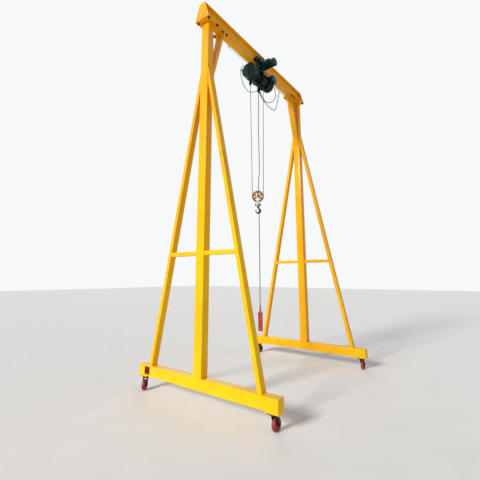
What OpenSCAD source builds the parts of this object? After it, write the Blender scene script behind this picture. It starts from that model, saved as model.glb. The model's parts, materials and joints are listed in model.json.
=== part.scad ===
// Gantry crane on swivel castors: two A-shaped end frames, an I-section girder
// bolted across them, and a wire-rope hoist on a trolley that runs on the girder.
// Millimetres, +Z up. X runs along the girder, Y across it.
// The origin is on the floor under the centre of the crane.

/* [End frames] */
// Distance between the two end frames, centre to centre
frame_span = 3100; // [2400:10:4200]
// Length of a base beam
base_len = 2480; // [2200:10:3200]
// Height of a base beam
base_h = 150; // [120:5:180]
// Width of a base beam, along the girder
base_w = 130; // [126:2:160]
// Width of a post, across the girder
post_w = 150; // [120:2:180]
// Depth of a post, along the girder
post_d = 125; // [104:1:128]
// Thickness of a leg in the plane of the frame
leg_w = 60; // [50:2:80]
// Depth of the legs and crossbars, along the girder
leg_d = 100; // [70:2:102]
// Distance from the post's centre line to a leg's foot
leg_foot = 988; // [800:4:1050]
// Height at which a leg's outer side meets the post
leg_top = 4986; // [4200:2:5200]
// Height of a crossbar's section
bar_h = 60; // [40:2:80]
// Height of the crossbars' centre line
bar_z = 2012; // [1400:2:2600]

/* [Girder] */
// Height of the girder's underside above the floor
girder_z = 5840; // [5500:10:6200]
// Overhang of the girder past the plates on its posts
overhang = 0; // [0:10:600]
// Height of the I-section
girder_h = 280; // [260:5:320]
// Width of its flanges
girder_w = 122; // [116:2:130]
// Thickness of its web
web_t = 8.5; // [7:0.5:12]
// Thickness of its flanges at the edge
flange_t = 9; // [8:0.5:14]
// Length and width of the bolted plates on the posts
head_plate = 290; // [260:2:320]
// Thickness of the bolted plates
plate_t = 12; // [10:1:16]
// Distance of a knee brace's outer side from the post, at its top
brace_out = 291; // [200:1:400]
// Height at which a knee brace's lower side meets the post
brace_foot = 4718; // [4400:2:5000]
// Thickness of a knee brace
brace_t = 60; // [50:2:70]
// Width of a knee brace, across the girder
brace_w = 120; // [80:2:140]
// Length of a knee brace's plate, along the girder
brace_plate_l = 150; // [130:2:180]
// Width of a knee brace's plate, across the girder
brace_plate_w = 240; // [200:2:280]

/* [Castors] */
// Wheel diameter
wheel_d = 150; // [125:5:160]
// Wheel width
wheel_w = 46; // [36:1:50]
// Height of a castor, from the floor to the top of its plate
castor_h = 203; // [200:1:220]
// How far a wheel trails its swivel axis
castor_trail = 38; // [30:1:45]
// Distance from a base beam's end to a castor's swivel axis
castor_inset = 90; // [80:1:120]
// Turn of the near left castor about its swivel axis
near_left_turn = -150; // [-180:5:180]
// Thickness of the welded pad over each castor
pad_t = 15; // [12:1:20]

/* [Trolley and hoist] */
// Place of the hoist's centre along the girder
hoist_x = -130; // [-200:5:200]
// Height of the drum's axis above the floor, below the girder
drum_drop = 228; // [222:1:260]
// Radius of the gearbox and drum casing
casing_r = 150; // [146:1:160]
// Length of the gearbox housing
gearbox_l = 130; // [110:5:150]
// Length of the closed shell round the drum
shell_l = 190; // [180:5:220]
// Length of the part of the shell that is closed all round, next to the gearbox
shell_closed = 45; // [30:5:80]
// Length of the drum casing between the shell and the motor
casing_l = 235; // [220:5:300]
// Radius of the hoist motor
motor_r = 132; // [110:1:138]
// Length of the hoist motor
motor_l = 225; // [200:5:280]
// Radius of the trolley wheels' tread
troll_wheel_r = 60; // [50:1:64]
// Distance between the trolley's wheel axles
troll_base = 200; // [160:5:240]

/* [Rope and hook] */
// Rope diameter
rope_d = 11; // [8:0.5:13]
// Radius of the rope's centre line on the drum
drum_rope_r = 114; // [106:1:118]
// Height of the sheave's axle at rest
hook_z = 3140; // [1600:10:4000]
// Radius of the rope's centre line on the sheave
sheave_rope_r = 101; // [90:1:110]
// Angle of the hook block about the vertical
block_turn = -60; // [-90:1:0]

/* [Cables] */
// Diameter of the pendant cable and the supply cables
cable_d = 14; // [10:1:18]
// Distance of the messenger wire from the girder's centre line
wire_y = 130; // [125:5:145]
// Height of the messenger wire above the girder's underside
wire_up = 60; // [50:5:70]
// Diameter of the messenger wire
wire_d = 8; // [6:1:10]
// Distance of the wire's near bracket from the near end frame
wire_inset_near = 670; // [600:10:800]
// Distance of the wire's far bracket from the far end frame
wire_inset_far = 335; // [320:5:500]
// Height of the pendant's top above the floor
pendant_z = 1120; // [900:10:1400]
// Height of the pendant's body
pendant_h = 330; // [250:10:360]

/* [Hidden] */

yellow = [1, 0.82, 0.05];
green = [0.07, 0.28, 0.2];
black = [0.1, 0.1, 0.1];
steel = [0.7, 0.7, 0.7];
red = [0.7, 0.1, 0.08];
orange = [0.8, 0.4, 0.15];

base_z = castor_h + pad_t;
base_top = base_z + base_h;
post_top = girder_z - 2 * plate_t;
frame_x = frame_span / 2;
girder_len = frame_span + head_plate + 2 * overhang;
ends = [["near", -1], ["far", 1]];
run = 0.05;
gap = 0.3;

// Legs: the outer side runs from the foot up to the post's side.
leg_rise = leg_top - base_top;
leg_slope = (leg_foot - post_w / 2) / leg_rise;
leg_half = leg_w / 2 * sqrt(1 + leg_slope * leg_slope);
leg_lean = (leg_foot + leg_half - post_w / 2) / leg_rise;
function leg_in(z) = leg_foot - leg_half - (z - base_top) * leg_lean;

// Knee braces
brace_rise = post_top - brace_foot;
brace_lean = brace_out / brace_rise;
brace_side = brace_t * sqrt(1 + 1 / (brace_lean * brace_lean));
brace_mid = brace_out - (brace_side * brace_lean) / 2;

// Girder section: the flanges thicken towards the web.
flange_slope = 1 / 6;
flange_root = flange_t + (girder_w - web_t) / 2 * flange_slope;

// Trolley wheels stand on the sloping upper side of the bottom flange.
wheel_in = 22;
wheel_out = girder_w / 2 - 1;
troll_plate_y = girder_w / 2 + 20;
troll_plate_t = 8;
wheel_mid = (wheel_in + wheel_out) / 2;
troll_axle_z = girder_z + flange_t + (girder_w / 2 - wheel_mid) * flange_slope + troll_wheel_r + gap;
troll_flange_r = troll_wheel_r + 10;
troll_x = hoist_x + 20;
drum_z = girder_z - drum_drop;
rod_z = drum_z + casing_r + 24;
rod_r = 14;
rod_x = [troll_x - 60, troll_x + 60];

gearbox_x = hoist_x - 285;
shell_x = gearbox_x + gearbox_l;
casing_x = shell_x + shell_l;
motor_x = casing_x + casing_l;
shell_t = 8;
disc_t = 12;
journal_r = 30;

// Drum: grooves at one pitch along it, empty as far as the one the rope leaves.
drum_x = shell_x + disc_t + gap;
drum_l = shell_l + casing_l - 2 * (disc_t + gap);
pitch = rope_d + 1;
turns = floor((drum_l - 20) / pitch);
groove_0 = drum_x + (drum_l - (turns - 1) * pitch) / 2;
empty = round((casing_x + 33 - groove_0) / pitch);
exit_x = groove_0 + empty * pitch;

// Hook block
fall_x = sheave_rope_r * cos(block_turn);
fall_y = -sheave_rope_r * sin(block_turn);
exit_drop = 52;
anchor_z = drum_z - 160;
guide_l = 36;
crosshead_z = hook_z - 178;
crosshead_h = 44;

module i_section() {
    half = girder_w / 2;
    web = web_t / 2;
    mid = girder_h / 2;
    polygon([[-half, -mid], [half, -mid], [half, -mid + flange_t], [web, -mid + flange_root],
        [web, mid - flange_root], [half, mid - flange_t], [half, mid], [-half, mid],
        [-half, mid - flange_t], [-web, mid - flange_root], [-web, -mid + flange_root],
        [-half, -mid + flange_t]]);
}

module girder() {
    color(yellow) translate([-girder_len / 2, 0, girder_z + girder_h / 2]) rotate([90, 0, 90])
        linear_extrude(girder_len) i_section();
}

module plate_at(x, z, l, w) {
    translate([x - l / 2, -w / 2, z]) cube([l, w, plate_t]);
}

// Gussets at the girder's ends, from its top flange down to the plates on the posts.
gusset_t = 12;
module girder_gussets() {
    half = girder_w / 2;
    z0 = girder_z;
    z1 = girder_z + girder_h;
    color(yellow) for (m = [-1, 1]) for (s = [-1, 1])
        translate([m * (frame_x + head_plate / 2 - gusset_t / 2) - gusset_t / 2, 0, 0])
            rotate([90, 0, 90]) linear_extrude(gusset_t)
                polygon([[s * web_t / 2, z0 + flange_root], [s * half, z0 + flange_t], [s * half, z0],
                    [s * head_plate / 2, z0], [s * half, z1 - flange_t], [s * web_t / 2, z1 - flange_root]]);
}

// A plate over a post and one over its knee brace, with their undersides at height z.
module plate_pair(side, z) {
    color(yellow) {
        plate_at(side * frame_x, z, head_plate, head_plate);
        plate_at(side * (frame_x - post_d / 2 - brace_mid), z, brace_plate_l, brace_plate_w);
    }
}

// Wall thickness of the box sections
beam_wall = 6;
tube_wall = 4;
// Window in a base beam's outer side, by which the left castor's bolts are reached
window_l = 120;
window_edge = 18;
window_y = base_len / 2 - castor_inset - 100;

module base_beam(side) {
    outer_x = side * (frame_x + base_w / 2);
    color(yellow) difference() {
        union() {
            translate([side * frame_x - base_w / 2, -base_len / 2, base_z]) cube([base_w, base_len, base_h]);
            for (s = [-1, 1]) translate([side * frame_x - base_w / 2,
                s * (base_len / 2 - castor_inset) - castor_inset, base_z - pad_t])
                cube([base_w, 2 * castor_inset, pad_t + 1]);
        }
        translate([side * frame_x - base_w / 2 + beam_wall, -base_len / 2 + beam_wall, base_z + beam_wall])
            cube([base_w - 2 * beam_wall, base_len - 2 * beam_wall, base_h - 2 * beam_wall]);
        translate([outer_x - beam_wall - 1, window_y - window_l / 2, base_z + window_edge])
            cube([2 * beam_wall + 2, window_l, base_h - 2 * window_edge]);
    }
}

module post(side) {
    color(yellow) difference() {
        translate([side * frame_x - post_d / 2, -post_w / 2, base_top])
            cube([post_d, post_w, post_top - base_top]);
        translate([side * frame_x - post_d / 2 + beam_wall, -post_w / 2 + beam_wall, base_top - 1])
            cube([post_d - 2 * beam_wall, post_w - 2 * beam_wall, post_top - base_top + 2]);
    }
}

// Outline of a leg, moved in by w on each side and out past both ends by over.
module leg_outline(s, w, over) {
    half = leg_half - w * leg_half / (leg_w / 2);
    y_in = post_w / 2 - over;
    z_foot = base_top - over;
    rise = (z_foot - base_top) * leg_lean;
    polygon([[s * (leg_foot - half - rise), z_foot], [s * (leg_foot + half - rise), z_foot],
        [s * y_in, base_top + (leg_foot + half - y_in) / leg_lean],
        [s * y_in, base_top + (leg_foot - half - y_in) / leg_lean]]);
}

module leg(side, s) {
    color(yellow) translate([side * frame_x, 0, 0]) rotate([90, 0, 90]) difference() {
        translate([0, 0, -leg_d / 2]) linear_extrude(leg_d) leg_outline(s, 0, 0);
        translate([0, 0, -leg_d / 2 + tube_wall]) linear_extrude(leg_d - 2 * tube_wall)
            leg_outline(s, tube_wall, 10);
    }
}

module bar_outline(s, w, over) {
    z0 = bar_z - bar_h / 2 + w;
    z1 = bar_z + bar_h / 2 - w;
    y0 = post_w / 2 - over;
    polygon([[s * y0, z0], [s * (leg_in(z0) + over), z0], [s * (leg_in(z1) + over), z1], [s * y0, z1]]);
}

module crossbar(side) {
    color(yellow) for (s = [-1, 1]) translate([side * frame_x, 0, 0]) rotate([90, 0, 90]) difference() {
        translate([0, 0, -leg_d / 2]) linear_extrude(leg_d) bar_outline(s, 0, 0);
        translate([0, 0, -leg_d / 2 + tube_wall]) linear_extrude(leg_d - 2 * tube_wall)
            bar_outline(s, tube_wall, 10);
    }
}

module brace_outline(side, w, over) {
    face = frame_x - post_d / 2;
    foot = brace_foot + w * brace_side / brace_t;
    foot_hi = brace_foot + brace_side - w * brace_side / brace_t;
    x0 = face + over;
    z1 = post_top + over;
    polygon([[side * x0, foot - over / brace_lean], [side * (face - (z1 - foot) * brace_lean), z1],
        [side * (face - (z1 - foot_hi) * brace_lean), z1], [side * x0, foot_hi - over / brace_lean]]);
}

module knee_brace(side) {
    color(yellow) translate([0, brace_w / 2, 0]) rotate([90, 0, 0]) difference() {
        linear_extrude(brace_w) brace_outline(side, 0, 0);
        translate([0, 0, tube_wall]) linear_extrude(brace_w - 2 * tube_wall)
            brace_outline(side, tube_wall, 10);
    }
}

// Castors
castor_plate_t = 8;
kingpin_r = 8;
crown_top = castor_h - castor_plate_t - gap;
crown_t = 22;
fork_gap = wheel_w + 10;
fork_t = 6;
axle_r = 6;
crown_r = 40;

function castor_y(s) = s * (base_len / 2 - castor_inset);

// Puts its children at a castor's swivel axis, turned as that castor stands.
module at_castor(e, s) {
    translate([e * frame_x, castor_y(s), 0]) rotate([0, 0, e < 0 && s > 0 ? near_left_turn : 0]) children();
}

module castor_plates() {
    color(black) for (e = ends) for (s = [-1, 1])
        translate([e[1] * frame_x, castor_y(s), 0]) {
            translate([-52, -65, castor_h - castor_plate_t]) cube([104, 130, castor_plate_t]);
            translate([0, 0, castor_h - castor_plate_t - gap - crown_t - 10])
                cylinder(r = kingpin_r, h = 10 + gap + crown_t + 1, $fn = 32);
            translate([0, 0, castor_h - castor_plate_t - gap - crown_t - 14])
                cylinder(r = 14, h = 13, $fn = 32);
        }
}

module castor_fork(e, s) {
    leg_h = crown_top - wheel_d / 2;
    color(black) at_castor(e, s) difference() {
        union() {
            translate([0, 0, crown_top - crown_t]) cylinder(r = crown_r, h = crown_t, $fn = 48);
            for (m = [-1, 1]) translate([0, m * (fork_gap + fork_t) / 2 + fork_t / 2, 0]) rotate([90, 0, 0])
                linear_extrude(fork_t) union() {
                    polygon([[-30, crown_top - 4], [34, crown_top - 4],
                        [castor_trail + 16, wheel_d / 2 + 4], [castor_trail - 16, wheel_d / 2 - 4]]);
                    translate([castor_trail, wheel_d / 2]) circle(r = 16.5, $fn = 32);
                }
            translate([-30, -fork_gap / 2 - 1, crown_top - 12]) cube([64, fork_gap + 2, 8]);
            translate([castor_trail, fork_gap / 2 + fork_t + 6, wheel_d / 2]) rotate([90, 0, 0])
                cylinder(r = axle_r, h = fork_gap + 2 * fork_t + 12, $fn = 32);
        }
        translate([0, 0, crown_top - crown_t - 1]) cylinder(r = kingpin_r + run, h = crown_t + 2, $fn = 32);
        translate([0, 0, crown_top - crown_t - 40]) cylinder(r = 18, h = 40, $fn = 32);
    }
}

module castor_wheel(e, s) {
    round_r = 12;
    color(red) at_castor(e, s) translate([castor_trail, 0, wheel_d / 2]) rotate([90, 0, 0])
        rotate_extrude($fn = 72) difference() {
            union() {
                translate([axle_r + run, -wheel_w / 2]) square([wheel_d / 2 - round_r - axle_r, wheel_w]);
                translate([axle_r + run, -wheel_w / 2 + round_r])
                    square([wheel_d / 2 - axle_r - run, wheel_w - 2 * round_r]);
                for (m = [-1, 1]) translate([wheel_d / 2 - round_r, m * (wheel_w / 2 - round_r)])
                    circle(r = round_r, $fn = 32);
                translate([axle_r + run, -wheel_w / 2 - 4]) square([12, wheel_w + 8]);
            }
            for (m = [-1, 1]) translate([36, m * wheel_w / 2]) circle(r = 11, $fn = 24);
        }
}

// Trolley
gland_dx = 127;
module trolley_plate(s) {
    y = s * (troll_plate_y + troll_plate_t / 2);
    ax = troll_base / 2;
    plate_top = troll_axle_z + 80;
    color(black) difference() {
        union() {
            translate([troll_x, y + troll_plate_t / 2, 0]) rotate([90, 0, 0]) linear_extrude(troll_plate_t) {
                polygon([[-ax - 52, troll_axle_z - 24], [-ax - 46, plate_top - 22], [-ax - 26, plate_top],
                    [ax + 26, plate_top], [ax + 46, plate_top - 22], [ax + 52, troll_axle_z - 24],
                    [ax + 4, rod_z - 30], [-ax - 4, rod_z - 30]]);
            }
            if (s > 0) translate([troll_x - gland_dx, troll_plate_y + troll_plate_t - 1, girder_z - 2])
                cube([24, 23, 24]);
        }
        for (x = rod_x) translate([x, y + troll_plate_t, rod_z]) rotate([90, 0, 0])
            cylinder(r = rod_r + 0.2, h = 2 * troll_plate_t, $fn = 32);
        for (m = [-1, 1]) translate([troll_x + m * ax, y + troll_plate_t, troll_axle_z]) rotate([90, 0, 0])
            cylinder(r = 12 + gap, h = 2 * troll_plate_t, $fn = 32);
    }
}

module suspension_rods() {
    y = troll_plate_y + troll_plate_t + 16;
    color(steel) for (x = rod_x) {
        translate([x, y, rod_z]) rotate([90, 0, 0]) cylinder(r = rod_r, h = 2 * y, $fn = 32);
        for (m = [-1, 1]) translate([x, m * (troll_plate_y + troll_plate_t + gap + 6) + 6, rod_z])
            rotate([90, 0, 0]) cylinder(r = rod_r + 8, h = 12, $fn = 6);
    }
}

// Each wheel has its own stub axle, which turns in the plate.
module trolley_wheel(i) {
    m = i < 3 ? -1 : 1;
    s = i % 2 == 1 ? 1 : -1;
    r_in = troll_wheel_r - (wheel_mid - wheel_in) * flange_slope;
    r_out = troll_wheel_r + (wheel_out - wheel_mid) * flange_slope;
    rim_in = girder_w / 2 + 5;
    rim_out = troll_plate_y - 2;
    color(black) translate([troll_x + m * troll_base / 2, 0, troll_axle_z]) rotate([s * -90, 0, 0])
        rotate_extrude($fn = 64)
            polygon([[0, wheel_in], [r_in, wheel_in], [r_out, wheel_out], [r_out, rim_in],
                [troll_flange_r, rim_in + 2], [troll_flange_r, rim_out], [12, rim_out],
                [12, troll_plate_y + troll_plate_t + 4], [0, troll_plate_y + troll_plate_t + 4]]);
}

// Trolley drive: a gear case on the plate and a finned motor with a cowl.
drive_x = troll_x + troll_base / 2 + 20;
drive_z = girder_z + 38;
drive_y = -(troll_plate_y + troll_plate_t);
drive_neck = 26;
case_t = 36;
case_r = 82;
case_x = troll_x + 12;
case_z = drive_z + 56;
case_l = norm([drive_x - case_x, drive_z - case_z]);
case_a = atan2(drive_z - case_z, drive_x - case_x);
drive_body = 196;
drive_r = 74;
module along_y(y0) {
    translate([drive_x, y0, drive_z]) rotate([90, 0, 0]) children();
}

module trolley_drive() {
    color(green) difference() {
        union() {
            along_y(drive_y) cylinder(r = case_r, h = case_t, $fn = 64);
            translate([case_x, drive_y, case_z]) rotate([90, 0, 0])
                cylinder(r = case_r, h = case_t, $fn = 64);
            translate([case_x, drive_y, case_z]) rotate([90, 0, 0]) rotate([0, 0, case_a])
                translate([0, 1 - case_r, 0]) cube([case_l, 2 * case_r - 2, case_t]);
            along_y(drive_y - drive_neck) rotate_extrude($fn = 48)
                polygon([[0, 0], [80, 0], [80, 14], [72, 22], [drive_r - 6, 26],
                    [drive_r - 6, drive_body - 16], [78, drive_body - 12], [78, drive_body], [0, drive_body]]);
            for (k = [0 : 23]) along_y(drive_y - drive_neck) rotate([0, 0, 15 * k])
                translate([drive_r - 10, -2, 20]) cube([12, 4, drive_body - 34]);
            translate([drive_x - 40, drive_y - drive_neck - 130, drive_z + drive_r - 12]) cube([80, 90, 44]);
        }
        translate([troll_x + troll_base / 2, drive_y + 1, troll_axle_z]) rotate([90, 0, 0])
            cylinder(r = 16, h = 10, $fn = 32);
    }
}

module drive_cowl() {
    color(black) along_y(drive_y - drive_neck - drive_body) difference() {
        rotate_extrude($fn = 48)
            polygon([[0, 0], [82, 0], [82, 38], [78, 46], [68, 52], [0, 52]]);
        for (k = [0 : 7]) rotate([0, 0, 45 * k]) translate([24, -4, 46]) cube([38, 8, 10]);
        translate([0, 0, 46]) cylinder(r = 14, h = 10, $fn = 32);
    }
}

module along_x(x0) {
    translate([x0, 0, drum_z]) rotate([90, 0, 90]) children();
}

module gearbox() {
    color(green) {
        along_x(gearbox_x) rotate_extrude($fn = 64)
            polygon([[0, 0], [46, 0], [52, 5], [96, 5], [104, 0], [casing_r - 9, 0],
                [casing_r - 3, 4], [casing_r - 1, 14], [casing_r - 3, 34],
                [casing_r - 3, gearbox_l - 64], [casing_r, gearbox_l - 62],
                [casing_r, gearbox_l - 44], [casing_r - 4, gearbox_l - 42], [casing_r - 4, gearbox_l - 22],
                [casing_r, gearbox_l - 20], [casing_r, gearbox_l], [0, gearbox_l]]);
        for (k = [0 : 5]) along_x(gearbox_x) rotate([0, 0, 60 * k + 30])
            translate([44, -5, 0]) cube([58, 10, 8]);
        along_x(gearbox_x - 18) cylinder(r = 28, h = 19, $fn = 32);
    }
}

// A pair of ears that hang on one suspension rod.
ear_t = 12;
module ears(x) {
    for (s = [-1, 1]) difference() {
        hull() {
            translate([x, s * 40 + ear_t / 2, rod_z]) rotate([90, 0, 0])
                cylinder(r = 26, h = ear_t, $fn = 32);
            translate([x - 30, s * 40 - ear_t / 2, drum_z + casing_r - 11]) cube([60, ear_t, 8]);
        }
        translate([x, s * 40 + ear_t, rod_z]) rotate([90, 0, 0])
            cylinder(r = rod_r + gap, h = 2 * ear_t, $fn = 32);
    }
}

// The rope's way out: an opening low down on the right, over a length l from z0 along the drum.
module rope_opening(z0, l) {
    translate([-casing_r - 1, -casing_r - 1, z0]) cube([casing_r - 20, casing_r + 20, l]);
}

// Shell round the drum, with a disc against the gearbox.
module drum_shell() {
    color(green) {
        along_x(shell_x) difference() {
            cylinder(r = casing_r, h = shell_l, $fn = 64);
            translate([0, 0, disc_t]) cylinder(r = casing_r - shell_t, h = shell_l, $fn = 64);
            translate([0, 0, -1]) cylinder(r = journal_r + gap, h = disc_t + 2, $fn = 32);
            rope_opening(shell_closed, shell_l);
        }
        ears(rod_x[0]);
    }
}

// Casing over the rest of the drum, with a disc against the motor.
module drum_casing() {
    color(black) {
        along_x(casing_x) difference() {
            cylinder(r = casing_r, h = casing_l, $fn = 64);
            translate([0, 0, -1]) cylinder(r = casing_r - shell_t, h = casing_l - disc_t + 1, $fn = 64);
            translate([0, 0, casing_l - disc_t - 1]) cylinder(r = journal_r + gap, h = disc_t + 2, $fn = 32);
            rope_opening(-1, casing_l - disc_t + 1);
        }
        ears(rod_x[1]);
    }
}

module rope_drum() {
    color([0.25, 0.25, 0.25]) along_x(drum_x) {
        rotate_extrude($fn = 64) difference() {
            union() {
                square([drum_rope_r - 2, drum_l]);
                for (i = [empty : turns - 1]) translate([drum_rope_r, groove_0 - drum_x + i * pitch])
                    circle(r = rope_d / 2, $fn = 24);
            }
            for (i = [0 : empty - 1]) translate([drum_rope_r, groove_0 - drum_x + i * pitch])
                circle(r = rope_d / 2, $fn = 24);
        }
        translate([0, 0, -10]) cylinder(r = journal_r, h = drum_l + 20, $fn = 32);
    }
}

module rope_guide() {
    in_r = drum_rope_r + rope_d / 2 + 2;
    color(black) along_x(exit_x - guide_l / 2) difference() {
        cylinder(r = casing_r - shell_t - gap, h = guide_l, $fn = 48);
        translate([0, 0, -1]) cylinder(r = in_r, h = guide_l + 2, $fn = 48);
        translate([-casing_r, -casing_r, guide_l / 2 - rope_d]) cube([casing_r - 90, casing_r, 2 * rope_d]);
    }
}

module rope_anchor() {
    color(black) difference() {
        translate([hoist_x - fall_x, drum_rope_r + 20, 0]) rotate([90, 0, 0]) linear_extrude(40)
            polygon([[-12, anchor_z], [12, anchor_z], [20, anchor_z + 34], [20, drum_z - 60],
                [-20, drum_z - 60], [-20, anchor_z + 34]]);
        along_x(shell_x) cylinder(r = casing_r + gap, h = shell_l, $fn = 64);
    }
}

// Hoist motor: a finned body between two end bells, with the brake's cover at its end.
fin_n = 28;
module hoist_motor() {
    color(green) {
        along_x(motor_x) rotate_extrude($fn = 64)
            polygon([[0, 0], [motor_r, 0], [motor_r, 16], [motor_r - 10, 22], [motor_r - 10, motor_l - 74],
                [motor_r - 2, motor_l - 70], [motor_r - 2, motor_l - 46], [motor_r - 14, motor_l - 34],
                [motor_r - 30, motor_l - 30], [motor_r - 34, motor_l - 8],
                [motor_r - 46, motor_l], [0, motor_l]]);
        for (k = [0 : fin_n - 1]) along_x(motor_x) rotate([0, 0, 360 * k / fin_n])
            translate([motor_r - 14, -2.5, 14]) cube([14, 5, motor_l - 86]);
        translate([motor_x + 30, -motor_r, drum_z + 6]) cube([90, 30, 70]);
    }
}

module control_box() {
    y1 = -(motor_r + gap);
    color([0.1, 0.25, 0.5]) {
        translate([motor_x + 5, y1 - 74, drum_z - 22]) cube([140, 74, 130]);
        translate([motor_x + 1, y1 - 80, drum_z - 26]) cube([148, 7, 138]);
    }
}

// Rope falls: from the drum and the anchor down to the two sides of the sheave.
module rope_fall(s) {
    top = s < 0 ? [exit_x, s * drum_rope_r, drum_z - exit_drop]
        : [hoist_x - fall_x, s * drum_rope_r, anchor_z];
    low = [hoist_x - s * fall_x, s * fall_y, hook_z];
    d = top - low;
    len = norm(d);
    color(steel) translate(low) rotate([0, acos(d[2] / len), atan2(d[1], d[0])])
        cylinder(r = rope_d / 2, h = len, $fn = 16);
}

// The bight of the rope round the lower half of the sheave.
module rope_bight() {
    trim = asin(gap / sheave_rope_r);
    color(steel) translate([hoist_x, 0, hook_z]) rotate([0, 0, block_turn]) rotate([90, 0, 0])
        rotate([0, 0, 180 + trim]) rotate_extrude(angle = 180 - 2 * trim, $fn = 48)
            translate([sheave_rope_r, 0]) circle(r = rope_d / 2, $fn = 16);
}

strap_t = 8;
module block_straps() {
    color(steel) translate([hoist_x, 0, 0]) rotate([0, 0, block_turn]) {
        for (m = [-1, 1]) translate([0, m * 26 + strap_t / 2, 0]) rotate([90, 0, 0]) linear_extrude(strap_t) {
            translate([-20, crosshead_z + 22]) square([40, hook_z - crosshead_z - 22]);
            translate([0, hook_z]) circle(r = 24, $fn = 32);
            translate([0, crosshead_z + 22]) circle(r = 28, $fn = 32);
        }
        translate([0, 34, hook_z]) rotate([90, 0, 0]) cylinder(r = 12, h = 68, $fn = 32);
        difference() {
            translate([-50, -22, crosshead_z]) cube([100, 44, crosshead_h]);
            translate([0, 0, crosshead_z - 1]) cylinder(r = 14 + run, h = crosshead_h + 2, $fn = 32);
        }
    }
}

module sheave() {
    outer = sheave_rope_r + 8;
    color(orange) translate([hoist_x, 0, hook_z]) rotate([0, 0, block_turn]) rotate([90, 0, 0])
        difference() {
            rotate_extrude($fn = 72) difference() {
                translate([12 + run, -14]) square([outer - 12, 28]);
                translate([sheave_rope_r + 1 - gap, 0]) circle(r = rope_d / 2 + 1, $fn = 24);
                translate([sheave_rope_r + 1 - gap, -rope_d / 2 - 1]) square([20, rope_d + 2]);
                for (m = [-1, 1]) translate([62, m * 14]) square([48, 16], center = true);
            }
            for (k = [0 : 5]) rotate([0, 0, 60 * k]) translate([62, 0, -20])
                cylinder(r = 17, h = 40, $fn = 32);
        }
}

// Hook: the section grows round the bowl and tapers to the tip.
bowl_r = 42;
bowl_drop = 92;
hook_turns = [80 : -15 : -205];
function hook_at(a) = [bowl_r * cos(a) - (a < -180 ? (-180 - a) * 0.3 : 0), 0, bowl_r * sin(a) - bowl_drop];
function hook_thick(a) = a > -60 ? 13 + (80 - a) / 23 : 19 - (-60 - a) / 11;
module hook() {
    color(steel) translate([hoist_x, 0, crosshead_z]) rotate([0, 0, block_turn]) {
        translate([0, 0, -52]) cylinder(r = 14, h = 52 + crosshead_h + gap + 1, $fn = 32);
        translate([0, 0, -30]) cylinder(r = 18, h = 29, $fn = 32);
        translate([0, 0, crosshead_h + gap]) cylinder(r = 20, h = 18, $fn = 6);
        tube([for (a = hook_turns) hook_at(a)], [for (a = hook_turns) hook_thick(a)], 12);
    }
}

// Cables. A route's points were chosen by hand; a tube is swept along them.
// A smooth curve through the points, in three steps from each to the next.
function spline(p) = [for (i = [0 : len(p) - 2]) for (k = [0 : 2]) let (t = k / 3, a = p[max(i - 1, 0)],
    b = p[i], c = p[i + 1], d = p[min(i + 2, len(p) - 1)])
    0.5 * (2 * b + (c - a) * t + (2 * a - 5 * b + 4 * c - d) * t * t + (3 * b - a - 3 * c + d) * t * t * t),
    p[len(p) - 1]];
function side_of(t) = let (b = cross(t, [0, 1, 0])) b / norm(b);
function tangent(pts, i) = let (d = pts[min(i + 1, len(pts) - 1)] - pts[max(i - 1, 0)]) d / norm(d);
function ring(p, t, r, n) = let (u = side_of(t), v = cross(t, u))
    [for (k = [0 : n - 1]) p + r * (cos(360 * k / n) * u + sin(360 * k / n) * v)];
module tube(pts, r, n) {
    m = len(pts);
    verts = [for (i = [0 : m - 1]) each ring(pts[i], tangent(pts, i), is_list(r) ? r[i] : r, n)];
    sides = [for (i = [0 : m - 2]) for (k = [0 : n - 1])
        [i * n + k, (i + 1) * n + k, (i + 1) * n + (k + 1) % n, i * n + (k + 1) % n]];
    foot = [for (k = [0 : n - 1]) k];
    top = [for (k = [n - 1 : -1 : 0]) (m - 1) * n + k];
    polyhedron(verts, concat([foot], sides, [top]));
}

// Clamp under the casing, where all the cables meet.
clamp_x = motor_x - 25;
clamp_y = 120;
clamp_z = drum_z - 172;
module cable_clamp() {
    color(black) difference() {
        translate([clamp_x - 15, clamp_y - 20, clamp_z]) cube([45, 40, drum_z - 60 - clamp_z]);
        along_x(casing_x) cylinder(r = casing_r + gap, h = casing_l + 1, $fn = 64);
        along_x(motor_x + 1) cylinder(r = motor_r + gap, h = motor_l, $fn = 64);
    }
}

// Messenger wire beside the girder, between two brackets welded to the bottom flange.
wire_z = girder_z + wire_up;
wire_near = -(frame_x - wire_inset_near);
wire_far = frame_x - wire_inset_far;
module messenger_wire() {
    half = girder_w / 2;
    color(steel) {
        translate([wire_near - 12, wire_y, wire_z]) rotate([0, 90, 0])
            cylinder(r = wire_d / 2, h = wire_far - wire_near + 24, $fn = 24);
        for (x = [wire_near, wire_far]) translate([x - 4, 0, 0]) rotate([90, 0, 90]) linear_extrude(8)
            polygon([[half, girder_z], [half, girder_z + flange_t], [wire_y - 14, wire_z + 9],
                [wire_y + 10, wire_z + 9], [wire_y + 10, wire_z - 9], [half + 18, girder_z]]);
    }
}

// Rings that slide on the wire and carry the supply cables' loops.
ring_back_1 = 429;
ring_back_2 = 241;
ring_x = [wire_far - ring_back_1, wire_far - ring_back_2];
ring_r = 12;
ring_t = 3;
ring_drop = ring_r - ring_t - wire_d / 2 - gap;
module cable_ring(i) {
    color(steel) translate([ring_x[i], wire_y, wire_z - ring_drop]) {
        rotate([0, 90, 0]) rotate_extrude($fn = 48) translate([ring_r, 0]) circle(r = ring_t, $fn = 24);
        translate([-10, -8, -ring_r - ring_t - 30]) cube([20, 16, 31]);
    }
}

// A cable leaves and enters what holds it square to the face, over this length.
stub = 12;

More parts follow.
